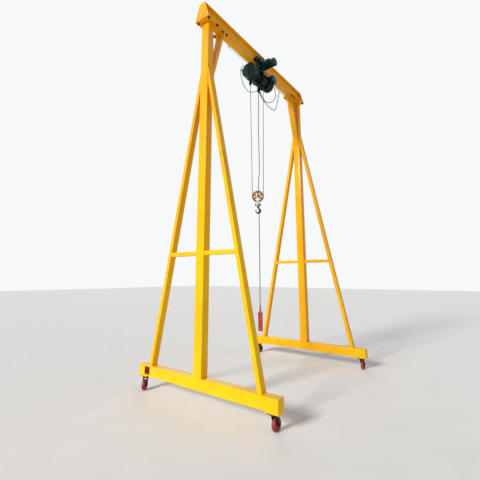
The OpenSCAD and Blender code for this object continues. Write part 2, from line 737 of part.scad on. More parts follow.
// Supply cables: loops from the clamp out to the rings. Each point is a share of the way
// along X and a height, counted from the clamp's middle up to the ring's underside.
loop_1 = [[0, 0], [0.04, -0.07], [0.1, -0.21], [0.2, -0.3], [0.3, -0.33], [0.4, -0.32], [0.52, -0.26],
    [0.65, -0.15], [0.78, 0.01], [0.92, 0.24], [1.01, 0.45], [1.055, 0.72], [1, 1]];
loop_2 = [[0, 0], [0.05, -0.12], [0.13, -0.25], [0.27, -0.38], [0.41, -0.46], [0.52, -0.485], [0.62, -0.475],
    [0.73, -0.39], [0.84, -0.09], [0.91, 0.37], [0.96, 0.72], [1, 1]];
module supply_cable(i) {
    end_a = [clamp_x + 30, clamp_y + (i == 0 ? -10 : 10), clamp_z + 30];
    end_b = [ring_x[i], wire_y, wire_z - ring_drop - ring_r - ring_t - 30];
    a = end_a + [stub, 0, 0];
    b = end_b - [0, 0, stub];
    loop = [for (q = i == 0 ? loop_1 : loop_2)
        [a[0] + q[0] * (b[0] - a[0]), a[1] + q[0] * (b[1] - a[1]), a[2] + q[1] * (b[2] - a[2])]];
    color(black) tube(concat([end_a], spline(loop), [end_b]), cable_d / 2, 10);
}

// Limit switch cable: from the clamp round the gearbox's end and up to the trolley's gland.
limit_d = 11;
limit_pts = [[485, 130, -160], [450, 131, -187], [405, 133, -220], [355, 137, -252], [305, 140, -277],
    [255, 141, -294], [200, 141, -305], [155, 141, -306], [110, 140, -294], [70, 140, -267], [30, 141, -227],
    [0, 143, -180], [-21, 146, -122], [-31, 151, -62], [-31, 156, -2], [-19, 162, 58], [5, 166, 113],
    [40, 164, 163], [80, 154, 200], [115, 133, 224], [145, 115, 235]];
module limit_cable() {
    a = [clamp_x - 15, clamp_y + 9, clamp_z + 26];
    b = [troll_x - gland_dx, troll_plate_y + troll_plate_t + 12, girder_z + 10];
    route = [for (q = limit_pts) [gearbox_x + q[0], q[1], drum_z + q[2]]];
    color(black) tube(concat([a, a - [stub, 0, 0]], route, [b - [stub, 0, 0], b]), limit_d / 2, 10);
}

// Pendant cable: each point is a place beside the clamp and a share of the way up to it.
drop_pts = [[0, 1], [0, 0.985], [-3, 0.955], [-5, 0.9], [-19, 0.83], [-17, 0.76], [-9, 0.69], [-3, 0.63],
    [-11, 0.595], [-35, 0.56], [-47, 0.515], [-41, 0.46], [-35, 0.39], [-35, 0.32], [-33, 0.25], [-33, 0.18],
    [-35, 0.11], [-37, 0.053], [-37, 0]];
pendant_x = clamp_x + drop_pts[len(drop_pts) - 1][0];
module pendant_cable() {
    drop = clamp_z - pendant_z;
    color(black) tube([for (q = drop_pts) [clamp_x + q[0], clamp_y, pendant_z + q[1] * drop]],
        cable_d / 2, 10);
}

// Pendant: a moulded handset with a row of buttons on the side towards the near frame.
pendant_neck = 50;
module pendant() {
    color(red) translate([pendant_x, clamp_y, pendant_z - pendant_neck - pendant_h]) {
        linear_extrude(pendant_h) hull() for (a = [-1, 1]) for (b = [-1, 1])
            translate([a * 18, b * 25]) circle(r = 10, $fn = 24);
        translate([0, 0, pendant_h]) cylinder(r1 = 24, r2 = 13, h = pendant_neck, $fn = 32);
    }
}

button_n = 5;
module pendant_buttons() {
    color(black) for (k = [0 : button_n - 1])
        translate([pendant_x - 28, clamp_y, pendant_z - pendant_neck - 45 - 52 * k]) rotate([0, -90, 0])
            cylinder(r = k == 0 ? 15 : 12, h = k == 0 ? 10 : 7, $fn = 32);
}

girder();
girder_gussets();
plate_pair(-1, girder_z - plate_t);  // girder_plates_near
plate_pair(1, girder_z - plate_t);  // girder_plates_far
base_beam(-1);  // base_beam_near
base_beam(1);  // base_beam_far
post(-1);  // post_near
post(1);  // post_far
plate_pair(-1, post_top);  // post_plates_near
plate_pair(1, post_top);  // post_plates_far
leg(-1, 1);  // leg_near_left
leg(-1, -1);  // leg_near_right
leg(1, 1);  // leg_far_left
leg(1, -1);  // leg_far_right
crossbar(-1);  // crossbar_near
crossbar(1);  // crossbar_far
knee_brace(-1);  // knee_brace_near
knee_brace(1);  // knee_brace_far
castor_plates();
castor_fork(-1, 1);  // castor_fork_near_left
castor_fork(-1, -1);  // castor_fork_near_right
castor_fork(1, 1);  // castor_fork_far_left
castor_fork(1, -1);  // castor_fork_far_right
castor_wheel(-1, 1);  // castor_wheel_near_left
castor_wheel(-1, -1);  // castor_wheel_near_right
castor_wheel(1, 1);  // castor_wheel_far_left
castor_wheel(1, -1);  // castor_wheel_far_right
trolley_plate(1);  // trolley_plate_left
trolley_plate(-1);  // trolley_plate_right
suspension_rods();
trolley_wheel(1);  // trolley_wheel_1
trolley_wheel(2);  // trolley_wheel_2
trolley_wheel(3);  // trolley_wheel_3
trolley_wheel(4);  // trolley_wheel_4
trolley_drive();
drive_cowl();
gearbox();
drum_shell();
drum_casing();
rope_drum();
rope_guide();
rope_anchor();
hoist_motor();
control_box();
rope_fall(1);  // rope_fall_left
rope_fall(-1);  // rope_fall_right
rope_bight();
block_straps();
sheave();
hook();
messenger_wire();
cable_ring(0);  // cable_ring_1
cable_ring(1);  // cable_ring_2
cable_clamp();
supply_cable(0);  // supply_cable_1
supply_cable(1);  // supply_cable_2
limit_cable();
pendant_cable();
pendant();
pendant_buttons();
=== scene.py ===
import json
from math import cos, pi, radians, sin

import bmesh
import bpy
from mathutils import Matrix, Vector


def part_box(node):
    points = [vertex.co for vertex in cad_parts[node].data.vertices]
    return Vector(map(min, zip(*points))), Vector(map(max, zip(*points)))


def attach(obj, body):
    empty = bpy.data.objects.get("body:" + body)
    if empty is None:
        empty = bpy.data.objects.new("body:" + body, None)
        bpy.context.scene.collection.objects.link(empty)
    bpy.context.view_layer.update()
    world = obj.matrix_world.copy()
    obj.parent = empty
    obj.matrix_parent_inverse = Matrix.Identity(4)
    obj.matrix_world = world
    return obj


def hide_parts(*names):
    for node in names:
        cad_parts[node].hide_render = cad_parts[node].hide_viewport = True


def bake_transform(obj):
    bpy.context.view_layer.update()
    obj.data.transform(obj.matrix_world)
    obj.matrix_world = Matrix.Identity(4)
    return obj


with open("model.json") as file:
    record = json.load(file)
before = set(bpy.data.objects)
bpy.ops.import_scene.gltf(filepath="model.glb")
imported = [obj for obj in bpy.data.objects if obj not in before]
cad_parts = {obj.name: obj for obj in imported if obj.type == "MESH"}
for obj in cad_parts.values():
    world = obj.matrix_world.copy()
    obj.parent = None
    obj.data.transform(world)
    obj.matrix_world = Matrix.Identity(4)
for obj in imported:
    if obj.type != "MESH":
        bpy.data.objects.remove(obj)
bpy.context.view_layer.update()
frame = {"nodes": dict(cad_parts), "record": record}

# The frame's own sizes, in metres, as the solids give them.
FLOOR = 0.0
FRAME_X = 1.55
KNEE_X = 1.2275
PLATE_LOW, PLATE_HIGH = 5.816, 5.840
CASTOR_Y, CASTOR_AXLE, CASTOR_TRAIL = 1.15, 0.075, 0.038
TROLLEY_AXLE = 5.9126
DRIVE_X, DRIVE_Z, DRIVE_FACE = 0.010, 5.878, -0.125
DRUM_AXIS = 5.612
HOIST_X = -0.130
HOOK_AXLE = 3.140
BLOCK_TURN = radians(-60)
ROPE_R = 0.0055
CABLE_R = 0.007
WIRE_Y = 0.130
HANDSET_TOP, HANDSET_MIDDLE = 1.120, 0.905
# Where the cables leave their clamp, and where the limit switch's cable ends.
CLAMP = Vector((0.115, 0.120, 5.440))
SUPPLY_EXITS = {1: CLAMP + Vector((0.030, -0.010, 0.030)), 2: CLAMP + Vector((0.030, 0.010, 0.030))}
LIMIT_EXIT, LIMIT_END = CLAMP + Vector((-0.015, 0.009, 0.026)), Vector((-0.237, 0.101, 5.850))
# What loops run over, and directions.
ENDS = (("near", -1), ("far", 1))
HANDS = (("left", 1), ("right", -1))
CORNERS = [radians(45 + 90 * k) for k in range(4)]
UP, DOWN, ALONG = (0, 0, 1), (0, 0, -1), Vector((1, 0, 0))


def deselect():
    bpy.ops.object.select_all(action="DESELECT")


def take(obj):
    """Makes obj the only selected object and the active one."""
    deselect()
    obj.select_set(True)
    bpy.context.view_layer.objects.active = obj
    return obj


def newest(name):
    """Names the piece that was made last."""
    obj = bpy.context.object
    obj.name = obj.data.name = name
    return obj


class Shaping:
    """Edit mode on one piece, with faces selected by their normal, or edges by their middle."""

    def __init__(self, obj):
        self.obj = obj

    def __enter__(self):
        take(self.obj)
        bpy.ops.object.mode_set(mode="EDIT")
        bpy.ops.mesh.select_all(action="DESELECT")
        return self

    def __exit__(self, *error):
        bpy.ops.object.mode_set(mode="OBJECT")

    def pick(self, kind, items, test):
        bpy.ops.mesh.select_mode(type=kind)
        mesh = bmesh.from_edit_mesh(self.obj.data)
        for item in getattr(mesh, items):
            item.select_set(bool(test(item)))
        bmesh.update_edit_mesh(self.obj.data)

    def faces(self, test):
        self.pick("FACE", "faces", lambda face: test(face.normal))

    def edges(self, test):
        self.pick("EDGE", "edges", lambda edge: test((edge.verts[0].co + edge.verts[1].co) / 2))

    def everything(self):
        bpy.ops.mesh.select_all(action="SELECT")


def finish(obj, *modifiers):
    """Applies modifiers, given as (type, settings), and the object's place, so that it sits at the origin."""
    take(obj)
    for kind, settings in modifiers:
        modifier = obj.modifiers.new(kind, kind)
        for key, value in settings.items():
            setattr(modifier, key, value)
        bpy.ops.object.modifier_apply(modifier=modifier.name)
    bpy.ops.object.transform_apply(location=True, rotation=True, scale=True)
    bpy.ops.object.shade_smooth_by_angle(angle=radians(35))
    return obj


def rounding(width, segments=2, angle=30):
    return ("BEVEL", {"width": width, "segments": segments, "limit_method": "ANGLE", "angle_limit": radians(angle)})


def box(name, low, high, round_by=0.0, segments=2):
    low, high = Vector(low), Vector(high)
    bpy.ops.mesh.primitive_cube_add(size=1, location=(low + high) / 2, scale=high - low)
    obj = newest(name)
    bpy.ops.object.transform_apply(location=True, rotation=True, scale=True)
    return finish(obj, rounding(round_by, segments)) if round_by else obj


def standing(place, axis):
    """The matrix that stands a piece at a place, pointing along an axis."""
    return Matrix.Translation(place) @ Vector(axis).normalized().to_track_quat("Z", "Y").to_matrix().to_4x4()


def drum(name, radius, depth, sides=48, place=(0, 0, 0), axis=UP):
    """A cylinder whose foot stands at place and which points along axis."""
    bpy.ops.mesh.primitive_cylinder_add(vertices=sides, radius=radius, depth=depth, location=(0, 0, depth / 2))
    obj = newest(name)
    bpy.ops.object.transform_apply(location=True)
    obj.data.transform(standing(place, axis))
    return obj


def turned(name, profile, sides=48, place=(0, 0, 0), axis=UP):
    """A turned piece: a disc drawn up through a profile of (radius, height), with its foot set at place."""
    (radius, height), rest = profile[0], profile[1:]
    deselect()
    bpy.ops.mesh.primitive_circle_add(vertices=sides, radius=radius, fill_type="NGON", location=(0, 0, height))
    obj = newest(name)
    bpy.ops.object.transform_apply(location=True)
    with Shaping(obj) as shaping:
        shaping.everything()
        for r, z in rest:
            bpy.ops.mesh.extrude_region_move(TRANSFORM_OT_translate={"value": (0, 0, z - height)})
            bpy.ops.transform.resize(value=(r / radius, r / radius, 1), center_override=(0, 0, z))
            radius, height = r, z
        shaping.everything()
        bpy.ops.mesh.normals_make_consistent(inside=False)
    obj.data.transform(standing(place, axis))
    return finish(obj)


def joined(name, parts):
    parts = list(parts)
    deselect()
    for part in parts:
        part.select_set(True)
    bpy.context.view_layer.objects.active = parts[0]
    if len(parts) > 1:
        bpy.ops.object.join()
    return newest(name)


def copies(name, pattern, places):
    """One piece made of copies of pattern, each with its foot at a place and pointing along an axis."""
    made = []
    for place, axis in places:
        copy = pattern.copy()
        copy.data = pattern.data.copy()
        bpy.context.collection.objects.link(copy)
        copy.data.transform(standing(place, axis))
        made.append(copy)
    return joined(name, made)


def remove(*patterns):
    for obj in patterns:
        bpy.data.objects.remove(obj, do_unlink=True)


def smooth_path(points, steps):
    """A smooth curve through the points, in so many steps from each to the next."""
    points = [Vector(p) for p in points]
    path = []
    for i in range(len(points) - 1):
        a, b, c, d = points[max(i - 1, 0)], points[i], points[i + 1], points[min(i + 2, len(points) - 1)]
        for k in range(steps):
            t = k / steps
            path.append(0.5 * (2 * b + (c - a) * t + (2 * a - 5 * b + 4 * c - d) * t * t
                               + (3 * b - a - 3 * c + d) * t ** 3))
    return path + [points[-1]]


def tube(name, paths, radius, resolution=4, radii=None, cyclic=False):
    """A mesh of round tubes along one or more paths."""
    curve = bpy.data.curves.new(name, "CURVE")
    curve.dimensions = "3D"
    curve.bevel_depth = radius
    curve.bevel_resolution = resolution
    curve.use_fill_caps = not cyclic
    for path in paths:
        spline = curve.splines.new("POLY")
        spline.points.add(len(path) - 1)
        for i, (point, at) in enumerate(zip(spline.points, path)):
            point.co = (*at, 1)
            point.radius = radii[i % len(radii)] if radii else 1
        spline.use_cyclic_u = cyclic
    obj = bpy.data.objects.new(name, curve)
    bpy.context.collection.objects.link(obj)
    take(obj)
    bpy.ops.object.convert(target="MESH")
    bpy.ops.object.shade_smooth_by_angle(angle=radians(50))
    return newest(name)


class Value:
    """A number in a material's nodes. Python's operators on it add Math nodes."""

    def __init__(self, paint, socket):
        self.paint, self.socket = paint, socket

    def math(self, operation, *others, swap=False):
        terms = [self, *others]
        if swap:
            terms.reverse()
        node = self.paint.node("Math", {"operation": operation}, dict(enumerate(terms)))
        return Value(self.paint, node.outputs[0])

    def __add__(self, other):
        return self.math("ADD", other)

    def __sub__(self, other):
        return self.math("SUBTRACT", other)

    def __rsub__(self, other):
        return self.math("SUBTRACT", other, swap=True)

    def __mul__(self, other):
        return self.math("MULTIPLY", other)

    __radd__, __rmul__ = __add__, __mul__

    def sine(self):
        return self.math("SINE")

    def most(self, other):
        return self.math("MAXIMUM", other)

    def step(self, low, high):
        """0 below low, 1 above high, and smooth between."""
        node = self.paint.node("MapRange", {"interpolation_type": "SMOOTHSTEP"},
                               {"Value": self, "From Min": low, "From Max": high})
        return Value(self.paint, node.outputs[0])


def feed(tree, socket, value):
    """Sets an input to a number or a colour, or links it to an output."""
    if isinstance(value, Value):
        value = value.socket
    if isinstance(value, bpy.types.NodeSocket):
        tree.links.new(value, socket)
    else:
        socket.default_value = value


def add_node(tree, kind, settings=None, sockets=None):
    made = tree.nodes.new("ShaderNode" + kind)
    for key, value in (settings or {}).items():
        setattr(made, key, value)
    for key, value in (sockets or {}).items():
        feed(tree, made.inputs[key], value)
    return made


class Finish:
    """A material, built node by node round one Principled shader."""

    def __init__(self, name):
        self.material = bpy.data.materials.new(name)
        self.material.use_nodes = True
        self.tree = self.material.node_tree
        self.tree.nodes.clear()
        self.shader = self.node("BsdfPrincipled")
        self.node("OutputMaterial", {}, {"Surface": self.shader.outputs[0]})
        self.place = self.node("TexCoord").outputs["Object"]
        x, y, z = self.node("SeparateXYZ", {}, {0: self.place}).outputs
        self.x, self.y, self.z = Value(self, x), Value(self, y), Value(self, z)
        normal = self.node("NewGeometry").outputs["Normal"]
        self.up = Value(self, self.node("SeparateXYZ", {}, {0: normal}).outputs[2])

    def node(self, kind, settings=None, sockets=None):
        return add_node(self.tree, kind, settings, sockets)

    def noise(self, scale, detail=4.0, roughness=0.55, stretch=None, distortion=0.0):
        place = self.place
        if stretch:
            place = self.node("Mapping", {}, {"Vector": place, "Scale": stretch}).outputs[0]
        node = self.node("TexNoise", {}, {"Vector": place, "Scale": scale, "Detail": detail,
                                          "Roughness": roughness, "Distortion": distortion})
        return Value(self, node.outputs[0])

    def mix(self, amount, first, second, way="MIX"):
        node = self.node("Mix", {"data_type": "RGBA", "blend_type": way}, {0: amount, 6: first, 7: second})
        return node.outputs[2]

    def bump(self, *heights):
        """Heights, given as (value, depth in metres), laid one over the other."""
        normal = None
        for height, depth in heights:
            sockets = {"Height": height, "Distance": depth, "Strength": 1.0}
            if normal:
                sockets["Normal"] = normal
            normal = self.node("Bump", {}, sockets).outputs[0]
        return normal

    def set(self, **sockets):
        for key, value in sockets.items():
            feed(self.tree, self.shader.inputs[key.replace("_", " ")], value)
        return self.material


def rgb(red, green, blue):
    """A colour as it looks on a screen, 0 to 255, for a shader."""
    def linear(c):
        c /= 255
        return c / 12.92 if c <= 0.04045 else ((c + 0.055) / 1.055) ** 2.4
    return (linear(red), linear(green), linear(blue), 1.0)


def gloss_paint(name, colour, deep, dust=0.1, chips=0.0, coat=0.08, shine=0.32, specular=0.5, high=None,
                grime=(96, 70, 38)):
    """Sprayed gloss enamel: slow changes of tone, orange peel, dust on what faces up, and a few chips.

    high is a painted shade: a tint laid over what stands high, or far from the near end, that makes it darker and more
    orange, as if less light reached it."""
    paint = Finish(name)
    tone = paint.noise(1.3, 3, 0.5) * 0.6 + paint.noise(9, 4, 0.6) * 0.4
    base = paint.mix(tone.step(0.38, 0.66), deep, colour)
    streaks = paint.noise(14, 4, 0.6, stretch=(1, 1, 0.12)).step(0.55, 0.78) * 0.07
    base = paint.mix(streaks, base, rgb(*grime))
    # Painted shade: with high given, the paint grows darker and more orange up high and towards the far end, where less
    # light falls.
    if high:
        away = paint.z.step(0.3, 6.2).most(paint.x.step(-1.4, 1.8) * 0.7)
        base = paint.mix(away, base, high, "MULTIPLY")
    settled = paint.up.step(0.35, 0.95) * (0.35 + 0.65 * paint.noise(22, 5, 0.65).step(0.3, 0.7)) * dust
    near_floor = (1 - paint.z.step(0.0, 0.55)) * paint.noise(30, 5, 0.7).step(0.42, 0.72) * dust * 0.5
    base = paint.mix(settled.most(near_floor), base, rgb(150, 138, 118))
    peel = paint.noise(420, 2, 0.5)
    heights = [(peel, 0.00025), (paint.noise(6, 2, 0.4), 0.0012)]
    rough = shine + tone * 0.10 + settled * 0.9
    if chips:
        worn = paint.noise(55, 6, 0.72, distortion=0.4).step(0.70 - 0.05 * chips, 0.72 - 0.05 * chips)
        worn = worn * paint.noise(4, 2, 0.5).step(0.42, 0.6)
        base = paint.mix(worn, base, rgb(86, 80, 76))
        rough = rough + worn * 0.3
        heights.append((1 - worn, 0.0006))
    return paint.set(Base_Color=base, Roughness=rough, Normal=paint.bump(*heights),
                     IOR=1.25, Specular_IOR_Level=specular, Coat_Weight=coat, Coat_Roughness=0.12)


def crosshead(metal):
    """1 on the hook block's crosshead, 0 on the straps that carry it."""
    along = (metal.x - HOIST_X) * cos(BLOCK_TURN) + metal.y * sin(BLOCK_TURN)
    side = metal.y * cos(BLOCK_TURN) - (metal.x - HOIST_X) * sin(BLOCK_TURN)
    beyond = (along * along).step(0.0284 ** 2, 0.0288 ** 2)
    between = 1 - (side * side).step(0.0216 ** 2, 0.0219 ** 2)
    return beyond.most(between) * metal.z.step(2.9605, 2.9610) * (1 - metal.z.step(3.0068, 3.0073))


def steel(name, bright, dark, rough=0.34, scale=1.0, forged=None):
    """Bare or plated steel with grease in its hollows and fine scratches; forged gives where it is black."""
    metal = Finish(name)
    stain = metal.noise(28 * scale, 6, 0.65).step(0.4, 0.68)
    grain = metal.noise(260 * scale, 3, 0.6, stretch=(1, 1, 6))
    tone = metal.mix(stain, bright, dark)
    if forged:
        tone = metal.mix(forged(metal), tone, rgb(62, 58, 54))
    return metal.set(Base_Color=tone, Metallic=1 - stain * 0.25, Roughness=rough + grain * 0.18 + stain * 0.15,
                     Normal=metal.bump((grain, 0.0002), (metal.noise(45 * scale, 4, 0.6), 0.0005)))


def wire(name, bright, dark):
    """Greased steel wire rope: wires show as fine slanting lines on each strand."""
    rope = Finish(name)
    wires = ((rope.z * 1900 + rope.x * 900 + rope.y * 900).sine() * 0.5 + 0.5)
    grease = rope.noise(60, 5, 0.7).step(0.4, 0.7)
    return rope.set(Base_Color=rope.mix(grease, bright, dark), Metallic=0.75, Roughness=0.42 + grease * 0.25,
                    Normal=rope.bump((wires, 0.0003), (rope.noise(180, 3, 0.6), 0.0003)))


def plastic(name, colour, deep, rough):
    """Moulded plastic or polyurethane with a fine spark grain and scuffs."""
    shell = Finish(name)
    tone = shell.noise(18, 4, 0.6).step(0.35, 0.7)
    base = shell.mix(tone, colour, deep)
    scuff = shell.noise(70, 6, 0.75, stretch=(1, 1, 3)).step(0.60, 0.74) * 0.2
    base = shell.mix(scuff, base, rgb(150, 140, 130))
    return shell.set(Base_Color=base, Roughness=rough + scuff * 0.5 + tone * 0.08,
                     Normal=shell.bump((shell.noise(600, 2, 0.5), 0.0003), (shell.noise(40, 4, 0.6), 0.0004)))


def rubber(name, colour, worn):
    """Cable sheath: a dull black skin, dusty in places."""
    skin = Finish(name)
    dusty = skin.noise(40, 5, 0.7).step(0.45, 0.75)
    return skin.set(Base_Color=skin.mix(dusty * 0.6, colour, worn), Roughness=0.55 + dusty * 0.2,
                    Normal=skin.bump((skin.noise(500, 2, 0.5), 0.0002)))


SOOT = (16, 15, 13)
# The yellow's high tint is a painted shade: darker and more orange up high and towards the far end.
YELLOW = gloss_paint("yellow_gloss_paint", rgb(255, 207, 4), rgb(251, 191, 3), dust=0.07, chips=0.5,
                     high=(0.90, 0.70, 0.86, 1))
GREEN = gloss_paint("green_enamel", rgb(5, 56, 40), rgb(3, 44, 31), dust=0.05, chips=0.3, coat=0.06, shine=0.2,
                    specular=0.4, grime=SOOT)
BLACK = gloss_paint("black_paint", rgb(17, 17, 19), rgb(11, 11, 12), dust=0.05, chips=0.3, coat=0.02,
                    specular=0.4, grime=SOOT)
BLUE = gloss_paint("blue_enamel", rgb(16, 46, 104), rgb(10, 36, 88), dust=0.05, chips=0.2, grime=SOOT)
ORANGE = gloss_paint("worn_orange_paint", rgb(196, 142, 102), rgb(142, 96, 64), dust=0.1, chips=1.5, shine=0.4)
BRIGHT = steel("bright_worn_steel", rgb(232, 226, 214), rgb(186, 178, 164), rough=0.3, forged=crosshead)
FORGED = steel("black_forged_steel", rgb(72, 68, 64), rgb(38, 36, 34), rough=0.42)
STEEL = steel("greased_steel", rgb(150, 148, 144), rgb(92, 86, 78))
BOLTS = steel("blackened_bolts", rgb(58, 56, 54), rgb(36, 32, 28), rough=0.42, scale=2.0)
# The drum's steel is greased, and made darker still as a painted shade for the shadow inside the casing.
GREASED_AND_SHADED = steel("greased_and_shaded_drum", rgb(52, 50, 47), rgb(24, 22, 20), rough=0.42)
ROPE = wire("wire_rope_strands", rgb(70, 67, 62), rgb(28, 26, 23))
CABLE = rubber("black_cable_sheath", rgb(22, 22, 24), rgb(58, 55, 52))
RED = plastic("red_polyurethane", rgb(152, 36, 36), rgb(120, 28, 28), rough=0.42)
PENDANT = plastic("red_handset_plastic", rgb(208, 64, 54), rgb(188, 50, 44), rough=0.38)
BUTTON = plastic("black_button_rubber", rgb(24, 24, 26), rgb(34, 34, 36), rough=0.6)
# The finishes that belong to each of the record's slots. The solids that stay as they are have the first.
FINISHES = {
    "frame_yellow": [YELLOW], "hoist_green": [GREEN], "dark_metal": [BLACK, BOLTS], "box_blue": [BLUE],
    "sheave_orange": [ORANGE], "bare_steel": [STEEL, BRIGHT, FORGED], "rope_steel": [ROPE, GREASED_AND_SHADED],
    "cable_black": [CABLE, BUTTON], "wheel_red": [RED], "pendant_red": [PENDANT],
}
SLOTS = {paint.name: slot for slot, paints in FINISHES.items() for paint in paints}


def coat(obj, material):
    """Gives a piece its finish."""
    obj.data.materials.clear()
    obj.data.materials.append(material)
    material.name in SLOTS
    return obj


def on(body, material, *objs):
    """Gives the pieces their finish and lets them move with a body."""
    for obj in objs:
        coat(obj, material)
        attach(obj, body)
    return objs[0]


# Camera, at the photograph's place and angle.
def set_camera():
    data = bpy.data.cameras.new("camera")
    data.sensor_width = 36
    data.lens = 23.92
    data.shift_x = 0.0021
    data.shift_y = -0.0552
    data.clip_end = 200
    camera = bpy.data.objects.new("camera", data)
    turn, rise = radians(37.7), radians(11.36)
    look = Vector((cos(turn) * cos(rise), sin(turn) * cos(rise), sin(rise)))
    camera.location = (-4.872, -3.223, 1.670)
    camera.rotation_euler = look.to_track_quat("-Z", "Y").to_euler()
    bpy.context.collection.objects.link(camera)
    bpy.context.scene.camera = camera


def far_lamp(name, side, strength, spread, colour=(1, 1, 1)):
    """A soft lamp so far away that it lights everything alike; side is where it stands."""
    data = bpy.data.lights.new(name, "SUN")
    data.energy = strength
    data.angle = radians(spread)
    data.color = colour
    lamp = bpy.data.objects.new(name, data)
    lamp.location = Vector(side) * 10
    lamp.rotation_euler = (-Vector(side)).to_track_quat("-Z", "Y").to_euler()
    bpy.context.collection.objects.link(lamp)


def set_stage():
    """A pale floor, a white surround and soft lamps."""
    bpy.ops.mesh.primitive_plane_add(size=90, location=(0, 0, FLOOR - 0.0005))
    floor = newest("floor")
    pale = Finish("pale_floor")
    pale.set(Base_Color=pale.mix(pale.noise(2, 3).step(0.3, 0.7), (0.83, 0.84, 0.86, 1), (0.86, 0.87, 0.89, 1)),
             Roughness=0.9)
    coat(floor, pale.material)
    world = bpy.data.worlds.new("surround")
    world.use_nodes = True
    bpy.context.scene.world = world
    tree = world.node_tree
    tree.nodes.clear()
    seen = add_node(tree, "Background", {}, {0: (0.93, 0.94, 0.95, 1), 1: 1.0}).outputs[0]
    light = add_node(tree, "Background", {}, {0: (1.0, 0.97, 0.92, 1), 1: 0.26}).outputs[0]
    rays = add_node(tree, "LightPath").outputs
    straight = rays["Is Camera Ray"]
    for other in ("Is Glossy Ray", "Is Transmission Ray"):
        straight = add_node(tree, "Math", {"operation": "MAXIMUM"}, {0: straight, 1: rays[other]}).outputs[0]
    mix = add_node(tree, "MixShader", {}, {0: straight, 1: light, 2: seen}).outputs[0]
    add_node(tree, "OutputWorld", {}, {0: mix})
    far_lamp("key_lamp", (-0.87, 0.12, 0.44), 3.05, 14, (1.0, 0.985, 0.95))
    far_lamp("side_lamp", (0.25, -0.85, 0.55), 0.22, 40, (1.0, 0.93, 0.85))
    far_lamp("back_lamp", (0.7, 0.6, 0.45), 0.5, 40)
    bpy.context.scene.view_settings.view_transform = "Standard"


set_camera()
set_stage()


# Cables and ropes.
def pendant_route():
    """The pendant cable's points: a place beside the clamp and a share of the way up to it."""
    steps = [(0, 1), (0, 0.985), (-3, 0.955), (-5, 0.9), (-19, 0.83), (-17, 0.76), (-9, 0.69), (-3, 0.63),
             (-11, 0.595), (-35, 0.56), (-47, 0.515), (-41, 0.46), (-35, 0.39), (-35, 0.32), (-33, 0.25),
             (-33, 0.18), (-35, 0.11), (-37, 0.053), (-37, 0)]
    return [(CLAMP.x + dx / 1000, CLAMP.y, HANDSET_TOP + share * (CLAMP.z - HANDSET_TOP)) for dx, share in steps]


def hang_pendant_cable():
    """The push-button handset's cable, a free cord."""
    path = smooth_path(pendant_route(), 6)
    cable = on("trolley", CABLE, tube("pendant_cable_sheath", [path], CABLE_R, 5))
    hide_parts("pendant_cable")
    length = sum((b - a).length for a, b in zip(path, path[1:]))


# A cable leaves and enters what holds it square to the face, over this length.
STUB = 0.012
# A supply cable's points: a share of the way from the clamp to its ring, and a height.
LOOPS = {
    1: [(0, 0), (0.04, -0.07), (0.1, -0.21), (0.2, -0.3), (0.3, -0.33), (0.4, -0.32), (0.52, -0.26),
        (0.65, -0.15), (0.78, 0.01), (0.92, 0.24), (1.01, 0.45), (1.055, 0.72), (1, 1)],
    2: [(0, 0), (0.05, -0.12), (0.13, -0.25), (0.27, -0.38), (0.41, -0.46), (0.52, -0.485), (0.62, -0.475),
        (0.73, -0.39), (0.84, -0.09), (0.91, 0.37), (0.96, 0.72), (1, 1)],
}


def hang_supply_cables():
    """The two supply cables, from the clamp to the sliding rings."""
    for number, loop in LOOPS.items():
        low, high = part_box(f"cable_ring_{number}")
        start, end = SUPPLY_EXITS[number], Vector(((low[0] + high[0]) / 2, WIRE_Y, low[2]))
        first, last = start + Vector((STUB, 0, 0)), end - Vector((0, 0, STUB))
        way = last - first
        points = [first + Vector((along * way.x, along * way.y, rise * way.z)) for along, rise in loop]
        path = [start] + smooth_path(points, 6) + [end]
        cable = coat(tube(f"supply_cable_{number}_sheath", [path], CABLE_R, 5), CABLE)
        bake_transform(cable)
        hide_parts(f"supply_cable_{number}")


def hang_limit_cable():
    """The limit switch's cable, from the clamp round the gearbox's end and up to the trolley."""
    gearbox_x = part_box("gearbox")[1][0] - 0.130
    route = [(485, 130, -160), (450, 131, -187), (405, 133, -220), (355, 137, -252), (305, 140, -277),
             (255, 141, -294), (200, 141, -305), (155, 141, -306), (110, 140, -294), (70, 140, -267),
             (30, 141, -227), (0, 143, -180), (-21, 146, -122), (-31, 151, -62), (-31, 156, -2), (-19, 162, 58),
             (5, 166, 113), (40, 164, 163), (80, 154, 200), (115, 133, 224), (145, 115, 235)]
    points = [LIMIT_EXIT - Vector((STUB, 0, 0))]
    points += [(gearbox_x + x / 1000, y / 1000, DRUM_AXIS + z / 1000) for x, y, z in route]
    points += [LIMIT_END - Vector((STUB, 0, 0))]
    path = [LIMIT_EXIT] + smooth_path(points, 4) + [LIMIT_END]
    cable = on("trolley", CABLE, tube("limit_cable_sheath", [path], 0.0055, 4))
    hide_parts("limit_cable")


def divided(points, gap):
    """Points at even steps along straight stretches."""
    points = [Vector(p) for p in points]
    path = []
    for start, end in zip(points, points[1:]):
        steps = max(1, round((end - start).length / gap))
        path += [start.lerp(end, k / steps) for k in range(steps)]
    return path + [points[-1]]


def strands(route, side, lay=0.075, count=6):
    """The helical paths of a rope's strands along a route; side is square to the whole route."""
    paths = [[] for strand in range(count)]
    run = 0.0
    for i, at in enumerate(route):
        along = (route[min(i + 1, len(route) - 1)] - route[max(i - 1, 0)]).normalized()
        across = (side - along * side.dot(along)).normalized()
        out = along.cross(across)
        run += (at - route[max(i - 1, 0)]).length
        for strand, path in enumerate(paths):
            angle = 2 * pi * (strand / count + run / lay)
            path.append(at + (across * cos(angle) + out * sin(angle)) * ROPE_R * 0.64)
    return paths


def rope(name, paths):
    return coat(tube(name, paths, ROPE_R * 0.36, 1), ROPE)


